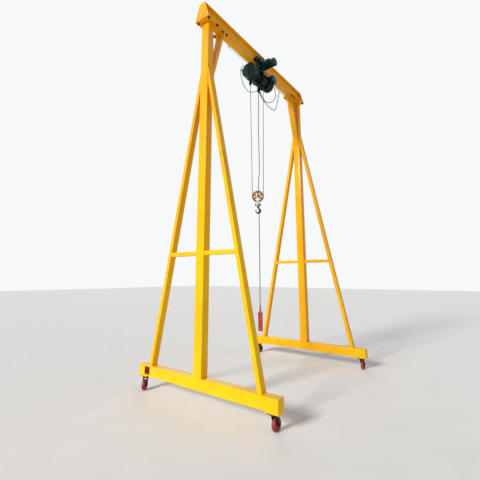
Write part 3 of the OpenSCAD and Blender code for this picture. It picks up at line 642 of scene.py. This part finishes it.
# The hook block stands turned: ACROSS points along its sheave's face, AXLE along its axle.
ACROSS = Vector((cos(BLOCK_TURN), sin(BLOCK_TURN), 0))
AXLE = Vector((-sin(BLOCK_TURN), cos(BLOCK_TURN), 0))
SHEAVE = Vector((HOIST_X, 0, HOOK_AXLE))
SHEAVE_ROPE, DRUM_ROPE = 0.101, 0.114
ROPE_EXIT, PITCH, TURNS = -0.0605, 0.012, 13.1
ROPE_GAP, FALL_LENGTHS = 0.0078, 9


def drum_place(x, turn):
    """A point of the wound rope, a number of turns on from the drum's front."""
    return Vector((x, -DRUM_ROPE * cos(2 * pi * turn), DRUM_AXIS + DRUM_ROPE * sin(2 * pi * turn)))


def hang_fall(name, node, foot, top, *beyond):
    """A fall of rope from the hook block's foot to the trolley's top, and on along points that stand still.

    The fall is made in lengths, one for each part of a smooth rise from foot to top, each with as much rope as that
    part is steep."""
    route = divided([foot, top], ROPE_GAP)
    last = len(route) - 1
    paths = strands(route + list(beyond), ALONG)
    parts = [(k / FALL_LENGTHS, (k + 1) / FALL_LENGTHS) for k in range(FALL_LENGTHS)]
    steep = [min(max(a, 0.5), b) * (1 - min(max(a, 0.5), b)) for a, b in parts]
    for k, (a, b) in enumerate(parts):
        high, low = (round(last * (1 - sum(steep[:n]) / sum(steep))) for n in (k, k + 1))
        run = (route[low] - route[high]) / (b - a)
        stretch = slice(low, high + 1 if k else None)
        length = rope(f"{name}_{k + 1}", [path[stretch] for path in paths])
        start = route[high] - run * a
        start + run
        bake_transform(length)
        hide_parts(node)


def hang_rope():
    """The rope: wound on the drum, down to the sheave, round it, and up to its anchor."""
    top = Vector((ROPE_EXIT, -DRUM_ROPE, DRUM_AXIS - 0.052))
    # The turn that the rope leaves by stays where it is while the drum and the turns beyond it go round.
    last_turn = [drum_place(ROPE_EXIT, k / 80) for k in range(45)]
    beyond = divided([top, last_turn[0]], ROPE_GAP)[1:] + last_turn[1:]
    hang_fall("rope_right", "rope_fall_right", SHEAVE + ACROSS * SHEAVE_ROPE, top, *beyond)
    foot = SHEAVE - ACROSS * SHEAVE_ROPE
    hang_fall("rope_left", "rope_fall_left", foot, Vector((foot.x, DRUM_ROPE, DRUM_AXIS - 0.160)))
    arc = [SHEAVE + (ACROSS * cos(-pi * k / 44) + Vector((0, 0, sin(-pi * k / 44)))) * SHEAVE_ROPE for k in range(45)]
    bight = rope("rope_round_sheave", strands(arc, AXLE))
    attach(bight, "hook_block")
    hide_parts("rope_bight")
    coils = [drum_place(ROPE_EXIT + PITCH * (1 + k / 80), k / 80) for k in range(round(TURNS * 80))]
    wound = rope("rope_on_drum", strands(coils, ALONG))
    profile = [(0.030, -0.010), (0.030, 0), (0.118, 0), (0.118, 0.010), (0.112, 0.012)]
    for k in range(16):
        profile += [(r, 0.0202 + PITCH * k + x) for r, x in ((0.112, -0.0048), (0.1092, -0.003), (0.1083, 0),
                                                              (0.1092, 0.003), (0.112, 0.0048))]
    profile += [(0.1092, 0.2055), (0.1092, 0.386), (0.118, 0.388), (0.118, 0.4004), (0.030, 0.4004), (0.030, 0.4104)]
    # The barrel's greased steel is darkened as a painted shade for the casing's shadow.
    barrel = coat(turned("drum_barrel", profile, 96, (-0.2727, 0, DRUM_AXIS), (1, 0, 0)), GREASED_AND_SHADED)
    for piece in (wound, barrel):
        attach(piece, "rope_drum")
        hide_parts("rope_drum")


hang_pendant_cable()
hang_supply_cables()
hang_limit_cable()
hang_rope()


# The solids
BODY_OF = {node: body for body, nodes in frame["record"]["behaviour"]["bodies"].items() for node in nodes}
SLOT_OF = {part["node"]: part["material_slot"] for part in frame["record"]["subparts"]}


def paint_solids():
    """The drive's cowl is green in the photograph, though its slot is a black one."""
    for name, node in frame["nodes"].items():
        for slot in node.material_slots:
            slot.material = GREEN if name == "drive_cowl" else FINISHES[SLOT_OF[name]][0]


def soften(name, width, segments=2):
    """A copy of a solid with its sharp edges rounded, as rolled and dressed steel has them."""
    source = frame["nodes"][name]
    copy = source.copy()
    copy.data = source.data.copy()
    copy.parent = None
    copy.matrix_world = Matrix.Identity(4)
    bpy.context.collection.objects.link(copy)
    copy.name = copy.data.name = name + "_dressed"
    with Shaping(copy) as shaping:
        shaping.everything()
        bpy.ops.mesh.remove_doubles(threshold=0.00002)
        bpy.ops.mesh.dissolve_limited(angle_limit=radians(0.5))
    finish(copy, rounding(width, segments, 40))
    on(BODY_OF[name], FINISHES[SLOT_OF[name]][0], copy)
    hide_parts(name)


paint_solids()
for steelwork, width in {"base_beam": 0.006, "post": 0.006, "crossbar": 0.004, "knee_brace": 0.004,
                         "girder_plates": 0.0015, "post_plates": 0.0015}.items():
    for end in ("near", "far"):
        soften(f"{steelwork}_{end}", width)
for end in ("near", "far"):
    for side in ("left", "right"):
        soften(f"leg_{end}_{side}", 0.004)
        soften(f"castor_fork_{end}_{side}", 0.0012)
for name, width in {"girder": 0.003, "girder_gussets": 0.0015, "control_box": 0.003, "trolley_plate_left": 0.0015,
                    "trolley_plate_right": 0.0015, "cable_clamp": 0.003, "rope_anchor": 0.003,
                    "castor_plates": 0.001, "pendant": 0.004, "block_straps": 0.0012}.items():
    soften(name, width)


# Fasteners. Each is modelled once, standing on its foot, and copied to its places.
def hex_bolt(size, head=0.65, stub=0.0):
    """A bolt's head, or a nut with its bolt's end, of a given thread diameter, with a washer under it."""
    foot = size * 0.15
    parts = [finish(drum("washer", size, foot, 28), rounding(size * 0.03, 1))]
    head_piece = drum("head", size * 0.87, size * head, 6, (0, 0, foot))
    with Shaping(head_piece) as shaping:
        shaping.faces(lambda normal: normal.z > 0.9)
        bpy.ops.mesh.inset(thickness=size * 0.10)
        bpy.ops.transform.translate(value=(0, 0, size * 0.05))
    parts.append(finish(head_piece, rounding(size * 0.03, 1)))
    if stub:
        end = drum("end", size / 2, size * stub, 20, (0, 0, foot + size * head))
        parts.append(finish(end, rounding(size * 0.06, 2)))
    return joined("bolt", parts)


def screw(size):
    """A round screw head with a crossed recess."""
    head = drum("head", size, size * 0.5, 24)
    with Shaping(head) as shaping:
        shaping.faces(lambda normal: normal.z > 0.9)
        bpy.ops.mesh.inset(thickness=size * 0.30)
        bpy.ops.transform.translate(value=(0, 0, size * 0.12))
        bpy.ops.mesh.inset(thickness=size * 0.35)
        bpy.ops.transform.translate(value=(0, 0, -size * 0.25))
    return finish(head, rounding(size * 0.06, 1))


def place_fasteners(name, body, pattern, places, material=BOLTS):
    on(body, material, copies(name, pattern, places))


def bolt_girder_plates():
    """M20 bolts through the plates over each post and each knee brace."""
    head, nut = hex_bolt(0.020), hex_bolt(0.020, 0.8, 0.5)
    for name, side in ENDS:
        spots = [(side * FRAME_X + x, y) for x in (-0.105, 0.105) for y in (-0.118, 0.118)]
        spots += [(side * KNEE_X + x, y) for x in (-0.048, 0.048) for y in (-0.098, 0.098)]
        place_fasteners(f"plate_bolts_{name}", "frame", head, [((x, y, PLATE_HIGH), UP) for x, y in spots])
        place_fasteners(f"plate_nuts_{name}", "frame", nut, [((x, y, PLATE_LOW), DOWN) for x, y in spots])
    remove(head, nut)


def bolt_castors():
    """M12 bolts through each castor's plate, with their nuts inside the base beam."""
    head, nut = hex_bolt(0.012), hex_bolt(0.012, 0.8, 0.6)
    for name, side in ENDS:
        spots = [(side * FRAME_X + x, s * CASTOR_Y + y) for s in (-1, 1) for x in (-0.040, 0.040)
                 for y in (-0.052, 0.052)]
        place_fasteners(f"castor_bolts_{name}", "frame", head, [((x, y, 0.195), DOWN) for x, y in spots])
        place_fasteners(f"castor_nuts_{name}", "frame", nut, [((x, y, 0.224), UP) for x, y in spots], YELLOW)
    remove(head, nut)


def bolt_trolley():
    """Nuts on the trolley wheels' stub axles, but for the one in the drive, and collars on the rods."""
    nut = hex_bolt(0.020, 0.7, 0.35)
    spots = [((x, s * 0.0895, TROLLEY_AXLE), (0, s, 0)) for x, s in ((-0.210, -1), (-0.210, 1), (-0.010, 1))]
    place_fasteners("wheel_axle_nuts", "trolley", nut, spots)
    remove(nut)
    collar = finish(drum("collar", 0.024, 0.006, 32), rounding(0.001, 2))
    spots = [((x, s * y, 5.786), (0, s, 0)) for x in (-0.170, -0.050) for s in (-1, 1) for y in (0.0285, 0.047)]
    place_fasteners("rod_collars", "trolley", collar, spots, STEEL)
    remove(collar)


def ring_of(x, radius, count, axis, start=0.0):
    """Places round the hoist's axis."""
    return [((x, radius * cos(start + 2 * pi * k / count), DRUM_AXIS + radius * sin(start + 2 * pi * k / count)),
             (axis, 0, 0)) for k in range(count)]


def dress_hoist():
    """Flange rings and bolts where the housings meet, and the gearbox's plugs, oil filler and sight glass."""
    rings = []
    for x, low, high in ((-0.285, -0.009, 0.009), (-0.095, -0.007, 0.007), (0.140, -0.009, 0.009)):
        ring = drum("flange", 0.158, high - low, 96, (x + low, 0, DRUM_AXIS), (1, 0, 0))
        with Shaping(ring) as shaping:
            shaping.faces(lambda normal: abs(normal.x) > 0.9)
            bpy.ops.mesh.inset(thickness=0.0122)
            bpy.ops.mesh.delete(type="FACE")
            shaping.edges(lambda centre: abs((centre.yz - Vector((0, DRUM_AXIS))).length - 0.1458) < 0.0012)
            bpy.ops.mesh.bridge_edge_loops()
            shaping.everything()
            bpy.ops.mesh.normals_make_consistent(inside=False)
        rings.append(finish(ring, rounding(0.0015, 2)))
    # The casing's flange is black like the casing: a painted shade, standing for the shadow that the girder casts on
    # the casing.
    for ring, name, paint in zip(rings, ("gearbox_flange", "casing_flange", "motor_flange"), (GREEN, BLACK, GREEN)):
        on("trolley", paint, ring)
        ring.name = ring.data.name = name
    bolt = hex_bolt(0.008, 0.7)
    spots = ring_of(-0.294, 0.1525, 12, -1) + ring_of(0.131, 0.1525, 12, -1, 0.26)
    place_fasteners("flange_bolts", "trolley", bolt, spots)
    place_fasteners("cover_bolts", "trolley", bolt, ring_of(-0.4145, 0.112, 10, -1, 0.1))
    place_fasteners("bell_bolts", "trolley", bolt, ring_of(0.3315, 0.113, 8, 1, 0.2))
    remove(bolt)
    plug = hex_bolt(0.018, 0.6)
    place_fasteners("gearbox_plugs", "trolley", plug, [((-0.350, 0.0, DRUM_AXIS + 0.1465), UP),
                                                        ((-0.350, 0.0, DRUM_AXIS - 0.1465), DOWN),
                                                        ((-0.420, 0.0, DRUM_AXIS - 0.074), (-1, 0, 0))])
    remove(plug)
    out = Vector((0, cos(radians(22)), sin(radians(22))))
    filler = turned("oil_filler", [(0.019, 0), (0.016, 0.004), (0.0155, 0.022), (0.011, 0.024), (0.011, 0.026),
                                   (0.0165, 0.0265), (0.0165, 0.036), (0.013, 0.039)], 24,
                    Vector((-0.398, 0, DRUM_AXIS)) + out * 0.144, out)
    on("trolley", GREEN, filler)
    glass = turned("oil_sight_glass", [(0.015, 0), (0.015, 0.005), (0.0135, 0.007), (0.0095, 0.007), (0.009, 0.004)],
                   32, (-0.330, -0.1460 * cos(0.5), DRUM_AXIS - 0.1460 * sin(0.5)), (0, -cos(0.5), -sin(0.5)))
    on("trolley", STEEL, glass)


def dress_control_box():
    """Lid screws, the lid's gasket and a row of glands under the box."""
    low, high = (Vector(c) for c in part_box("control_box"))
    fixing = screw(0.005)
    spots = [((x, low.y, z), (0, -1, 0)) for x in (low.x + 0.012, high.x - 0.012)
             for z in (low.z + 0.012, high.z - 0.012)]
    place_fasteners("lid_screws", "trolley", fixing, spots, STEEL)
    remove(fixing)
    gasket = box("lid_gasket", (low.x + 0.0035, low.y + 0.0065, low.z + 0.0035),
                 (high.x - 0.0035, low.y + 0.0085, high.z - 0.0035))
    on("trolley", CABLE, finish(gasket, rounding(0.0006, 1)))
    gland = drum("gland", 0.011, 0.014, 6)
    collar = drum("collar", 0.009, 0.012, 24, (0, 0, 0.014))
    with Shaping(collar) as shaping:
        shaping.faces(lambda normal: normal.z > 0.9)
        bpy.ops.mesh.inset(thickness=0.0025)
        bpy.ops.transform.translate(value=(0, 0, 0.006))
    pattern = joined("gland", [finish(gland, rounding(0.001, 2)), finish(collar, rounding(0.001, 2))])
    spots = [((x, -0.168, 5.590), DOWN) for x in (0.175, 0.210, 0.245)]
    place_fasteners("box_glands", "trolley", pattern, spots, BUTTON)
    remove(pattern)


def set_down(obj, origin, along, across):
    """Lays a piece made round the origin: its X goes along, its Y across."""
    along, across = Vector(along).normalized(), Vector(across).normalized()
    turn = Matrix((along, across, along.cross(across))).transposed().to_4x4()
    obj.data.transform(Matrix.Translation(origin) @ turn)
    return obj


# Welds
def rectangle(centre, across, along):
    """A rectangle's corners round a centre, from its two half sides, back to the first."""
    centre, across, along = Vector(centre), Vector(across), Vector(along)
    return [centre + across * i + along * j for i, j in ((-1, -1), (1, -1), (1, 1), (-1, 1), (-1, -1))]


def weld(name, routes, radius=0.0045):
    """A bead along each route, rippled as a passing torch leaves it."""
    paths = [divided(route, 0.004) for route in routes]
    return on("frame", YELLOW, tube(name, paths, radius, 1, radii=(1, 1.13, 0.92)))


def weld_end_frames():
    """Beads at both ends of the posts, and where the legs, crossbars, braces and castor plates meet the frame."""
    for name, side in ENDS:
        x = side * FRAME_X
        seams = [rectangle((x, 0, 0.368), (0.0625, 0, 0), (0, 0.075, 0)),
                 rectangle((x, 0, PLATE_LOW), (0.0625, 0, 0), (0, 0.075, 0)),
                 rectangle((x - side * 0.0625, 0, 4.835), (0, 0.060, 0), (0, 0, 0.117)),
                 rectangle((side * 1.2276, 0, PLATE_LOW), (0.0311, 0, 0), (0, 0.060, 0))]
        for s in (-1, 1):
            seams += [rectangle((x, s * 0.988, 0.368), (0.050, 0, 0), (0, 0.0306, 0)),
                      rectangle((x, s * 0.075, 4.8364), (0.050, 0, 0), (0, 0, 0.1497)),
                      rectangle((x, s * 0.075, 2.012), (0.050, 0, 0), (0, 0, 0.030)),
                      rectangle((x, s * CASTOR_Y, 0.218), (0.063, 0, 0), (0, 0.084, 0)),
                      [(x + i * 0.050, s * y, z) for i, y, z in ((-1, 0.6276, 1.982), (1, 0.6276, 1.982),
                                                                 (1, 0.6154, 2.042), (-1, 0.6154, 2.042),
                                                                 (-1, 0.6276, 1.982))]]
        weld(f"frame_welds_{name}", seams)


def weld_girder():
    """The girder's flange on its plates, and its end gussets against the web and the plates."""
    seams = []
    for side in (-1, 1):
        for s in (-1, 1):
            seams += [[(side * 1.408, s * 0.061, PLATE_HIGH), (side * 1.689, s * 0.061, PLATE_HIGH)],
                      [(side * 1.156, s * 0.061, PLATE_HIGH), (side * 1.299, s * 0.061, PLATE_HIGH)],
                      [(side * 1.683, s * 0.0043, PLATE_HIGH + 0.020), (side * 1.683, s * 0.0043, PLATE_HIGH + 0.260)],
                      [(side * 1.683, s * 0.0043, PLATE_HIGH + 0.018), (side * 1.683, s * 0.061, PLATE_HIGH + 0.009)],
                      [(side * 1.683, s * 0.061, PLATE_HIGH + 0.001), (side * 1.683, s * 0.143, PLATE_HIGH + 0.001)]]
    weld("girder_welds", seams)


# Hook block
def forge_hook():
    """The hook, drawn out thin towards its tip, with its shank, collar, nut and safety latch."""
    origin = Vector((HOIST_X, 0, 2.962))
    path, radii = [], []
    for z, r in ((0, 0.0140), (-0.016, 0.0140), (-0.032, 0.0142)):
        path.append(Vector((0, 0, z)))
        radii.append(r)
    for k in range(70):
        angle = 66 - 271 * k / 69
        drift = (angle + 180) * 0.0003 if angle < -180 else 0
        path.append(Vector((0.042 * cos(radians(angle)) + drift, 0, 0.042 * sin(radians(angle)) - 0.092)))
        thick = 13 + (80 - angle) / 23 if angle > -60 else 19 - (-60 - angle) / 11
        radii.append(thick / 1000)
    for _ in range(6):
        path = path[:1] + [(a + b * 2 + c) / 4 for a, b, c in zip(path, path[1:], path[2:])] + path[-1:]
    radii[-1] *= 0.55
    radii[-2] *= 0.86
    forging = tube("hook_forging", [[at / 0.019 for at in path]], 1.0, 7, radii=[r / 0.019 for r in radii])
    forging.data.transform(Matrix.Diagonal((0.019, 0.019 * 0.86, 0.019, 1)))
    shank = turned("shank", [(0.0138, -0.034), (0.0138, -0.030), (0.0165, -0.030), (0.018, -0.028), (0.018, -0.004),
                             (0.0165, -0.0015), (0.0138, -0.0015), (0.0138, 0.0623), (0.0120, 0.0645)], 40)
    nut = drum("nut", 0.020, 0.0175, 6, (0, 0, 0.0446))
    hook = joined("hook_forging", [forging, shank, finish(nut, rounding(0.0012, 2))])
    on("hook", FORGED, set_down(hook, origin, ACROSS, AXLE))
    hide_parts("hook")
    root, tip = Vector((-0.010, 0, -0.047)), Vector((-0.0385, 0, -0.0790))
    way = tip - root
    leaf = box("leaf", (-0.004, -0.0080, -0.001), (way.length, 0.0080, 0.001))
    sides = [box("side", (-0.004, s * 0.0088 - 0.0009, -0.001), (way.length * 0.72, s * 0.0088 + 0.0009, 0.0085))
             for s in (-1, 1)]
    latch = joined("safety_latch", [finish(piece, rounding(0.0007, 2)) for piece in (leaf, *sides)])
    pin = finish(drum("pin", 0.0026, 0.036, 20, (0, -0.018, 0.004), (0, 1, 0)), rounding(0.0005, 2))
    coil = [Vector((0.0045 * cos(k * 0.6), -0.0065 + 0.013 * k / 44, 0.004 + 0.0045 * sin(k * 0.6))) for k in range(45)]
    latch = joined("safety_latch", [latch, pin, tube("spring", [coil], 0.0007, 1)])
    latch.data.transform(Matrix.Translation(root) @ way.to_track_quat("X", "Z").to_matrix().to_4x4())
    on("hook", BRIGHT, set_down(latch, origin, ACROSS, AXLE))


def both_faces(centre, out):
    """Places on the hook block's two faces, so far out along its axle."""
    return [(centre + AXLE * s * out, AXLE * s) for s in (-1, 1)]


def dress_hook_block():
    """Nuts on the sheave's axle, the crosshead's pin ends and bolts, and the sheave's bearing rings."""
    coat(bpy.data.objects["block_straps_dressed"], BRIGHT)
    nut = hex_bolt(0.018, 0.7, 0.3)
    place_fasteners("sheave_axle_nuts", "hook_block", nut, both_faces(SHEAVE, 0.0302))
    remove(nut)
    disc = turned("disc", [(0.021, 0), (0.021, 0.004), (0.018, 0.006), (0.011, 0.006), (0.010, 0.004)], 36)
    trunnion = Vector((HOIST_X, 0, 2.984))
    place_fasteners("trunnion_ends", "hook_block", disc, both_faces(trunnion, 0.0302), STEEL)
    remove(disc)
    screws = hex_bolt(0.006, 0.7)
    spots = [(trunnion + AXLE * s * 0.0302 + ACROSS * 0.010 * m + Vector((0, 0, 0.045)), AXLE * s)
             for s in (-1, 1) for m in (-1, 1)]
    place_fasteners("strap_bolts", "hook_block", screws, spots)
    remove(screws)
    hub = turned("hub", [(0.030, 0), (0.030, 0.0015), (0.026, 0.004), (0.015, 0.004)], 40)
    place_fasteners("sheave_bearing_rings", "sheave", hub, both_faces(SHEAVE, 0.0140), STEEL)
    remove(hub)


# Castors
def dress_castors():
    """A ball race under each plate, nuts on the axle and a grease nipple on the fork's crown."""
    nut = hex_bolt(0.012, 0.65)
    for name, side in ENDS:
        for hand, s in HANDS:
            turn = radians(-150) if (name, hand) == ("near", "left") else 0.0
            swivel = Vector((side * FRAME_X, s * CASTOR_Y, 0))
            ahead, axle = Vector((cos(turn), sin(turn), 0)), Vector((-sin(turn), cos(turn), 0))
            body = f"castor_fork_{name}_{hand}"
            race = turned("ball_race", [(0.0395, 0), (0.0455, 0.003), (0.0475, 0.0085), (0.0455, 0.014),
                                        (0.0425, 0.0175)], 56, swivel + Vector((0, 0, 0.1750)))
            on(body, BLACK, race)
            spots = [(swivel + ahead * CASTOR_TRAIL + axle * m * 0.034 + Vector((0, 0, CASTOR_AXLE)), axle * m)
                     for m in (-1, 1)]
            place_fasteners(f"castor_axle_nuts_{name}_{hand}", body, nut, spots)
            nipple = turned("grease_nipple", [(0.0045, 0), (0.0045, 0.003), (0.0030, 0.004), (0.0022, 0.008),
                                              (0.0030, 0.0095), (0.0018, 0.011)], 16,
                            swivel - ahead * 0.0385 + Vector((0, 0, 0.186)) - ahead * 0.006, -ahead)
            on(body, STEEL, nipple)
    remove(nut)


# Trolley
def dress_trolley_drive():
    """Bolts round the gear case and the motor's flange, the terminal box's lid and the cowl's screws."""
    bolt = hex_bolt(0.008, 0.7)
    spots = []
    for cx, cz, first, last in ((-0.098, 5.934, 62, 300), (DRIVE_X, DRIVE_Z, 243, 420)):
        for k in range(5):
            angle = radians(first + (last - first) * k / 5)
            x, z = cx + 0.0725 * cos(angle), cz + 0.0725 * sin(angle)
            if (x - DRIVE_X) ** 2 + (z - DRIVE_Z) ** 2 > 0.0885 ** 2:
                spots.append(((x, DRIVE_FACE, z), (0, -1, 0)))
    place_fasteners("gear_case_bolts", "trolley", bolt, spots)
    remove(bolt)
    small = hex_bolt(0.006, 0.7)
    spots = [((DRIVE_X + 0.0760 * cos(a), -0.1295, DRIVE_Z + 0.0760 * sin(a)), (0, -1, 0))
             for a in CORNERS]
    place_fasteners("drive_flange_bolts", "trolley", small, spots)
    remove(small)
    lid = box("terminal_box_lid", (DRIVE_X - 0.0415, -0.2465, 5.9835), (DRIVE_X + 0.0415, -0.1535, 5.9875), 0.0012)
    on("trolley", GREEN, lid)
    fixing = screw(0.004)
    spots = [((DRIVE_X + i * 0.034, -0.200 + j * 0.039, 5.9873), UP) for i in (-1, 1) for j in (-1, 1)]
    spots += [((DRIVE_X + 0.0815 * cos(a), -0.331, DRIVE_Z + 0.0815 * sin(a)), (cos(a), 0, sin(a)))
              for a in CORNERS]
    place_fasteners("drive_screws", "trolley", fixing, spots, STEEL)
    remove(fixing)
    plug = hex_bolt(0.012, 0.6)
    place_fasteners("gear_case_plugs", "trolley", plug, [((-0.098, -0.107, 6.0155), UP),
                                                          ((DRIVE_X, -0.107, 5.7965), DOWN)])
    remove(plug)


def dress_wire_and_clamp():
    """Nuts on the messenger wire, the cable rings' bolts, and the grommets and bolts of the clamps."""
    nut = hex_bolt(0.009, 0.8)
    spots = [((x + m * 0.004, WIRE_Y, 5.900), (m, 0, 0)) for x in (-0.880, 1.215) for m in (-1, 1)]
    place_fasteners("messenger_wire_nuts", "frame", nut, spots, STEEL)
    remove(nut)
    small = hex_bolt(0.005, 0.7)
    grommet = turned("grommet", [(0.0100, -0.001), (0.0100, 0.003), (0.0084, 0.005), (0.0084, 0.008), (0.0092, 0.009),
                                 (0.0092, 0.012), (0.0078, 0.014), (0.0078, 0.022), (0.0072, 0.024)], 24)
    for number, x in ((1, 0.786), (2, 0.974)):
        body = f"cable_ring_{number}"
        spots = [((x, WIRE_Y + m * 0.008, 5.866), (0, m, 0)) for m in (-1, 1)]
        place_fasteners(f"ring_{number}_bolts", body, small, spots)
        place_fasteners(f"ring_{number}_grommet", body, grommet, [((x, WIRE_Y, 5.8503), DOWN)], BUTTON)
    spots = [(SUPPLY_EXITS[1], ALONG), (SUPPLY_EXITS[2], ALONG), (LIMIT_EXIT, -ALONG), (CLAMP, DOWN),
             (LIMIT_END, -ALONG)]
    place_fasteners("cable_grommets", "trolley", grommet, spots, BUTTON)
    remove(small, grommet)
    bolt = hex_bolt(0.008, 0.7)
    place_fasteners("clamp_bolts", "trolley", bolt, [((0.1225, 0.140, z), (0, 1, 0)) for z in (5.462, 5.498)])
    remove(bolt)
    left = SHEAVE - ACROSS * SHEAVE_ROPE
    sleeve = turned("rope_ferrule", [(0.0075, 0), (0.0092, 0.003), (0.0092, 0.028), (0.0110, 0.030)], 28,
                    (left.x, DRUM_ROPE, 5.4215))
    on("trolley", STEEL, sleeve)
    pin = hex_bolt(0.012, 0.7)
    spots = [((left.x, DRUM_ROPE + m * 0.020, 5.4725), (0, m, 0)) for m in (-1, 1)]
    place_fasteners("anchor_bolt", "trolley", pin, spots)
    remove(pin)


# Pendant
def dress_pendant():
    """The handset's seam, screws and button collars, and the boot round its cable."""
    x, y, seam = CLAMP.x - 0.037, CLAMP.y, []
    for angle in range(0, 360, 6):
        a = radians(angle)
        out = 0.0352 * (1 if cos(a) > 0 else -1) * min(1, abs(cos(a)) * 3)
        seam.append(Vector((x, y + out, HANDSET_MIDDLE + 0.1648 * sin(a))))
    on("trolley", BUTTON, tube("handset_seam", [seam], 0.0008, 1, cyclic=True))
    collar = turned("collar", [(0.0165, 0), (0.0165, 0.0025), (0.0150, 0.004), (0.0135, 0.004), (0.0130, 0.002)], 32)
    spots = [((x - 0.028, y, HANDSET_TOP - 0.095 - 0.052 * k), (-1, 0, 0)) for k in range(5)]
    place_fasteners("button_collars", "trolley", collar, spots, BUTTON)
    remove(collar)
    fixing = screw(0.0035)
    spots = [((x + 0.028, y + i * 0.026, HANDSET_MIDDLE + j * 0.148), ALONG) for i in (-1, 1) for j in (-1, 1)]
    place_fasteners("handset_screws", "trolley", fixing, spots, STEEL)
    remove(fixing)
    profile = [(0.0150, 0)]
    for k in range(7):
        r = 0.0135 - 0.0007 * k
        profile += [(r, 0.004 + 0.009 * k), (r, 0.009 + 0.009 * k), (r - 0.0022, 0.0095 + 0.009 * k),
                    (r - 0.0022, 0.0125 + 0.009 * k)]
    on("trolley", BUTTON, turned("cable_boot", profile, 28, (x, y, 1.119)))


weld_end_frames()
weld_girder()
bolt_girder_plates()
bolt_castors()
dress_castors()
bolt_trolley()
dress_trolley_drive()
dress_hoist()
dress_control_box()
dress_wire_and_clamp()
forge_hook()
dress_hook_block()
dress_pendant()
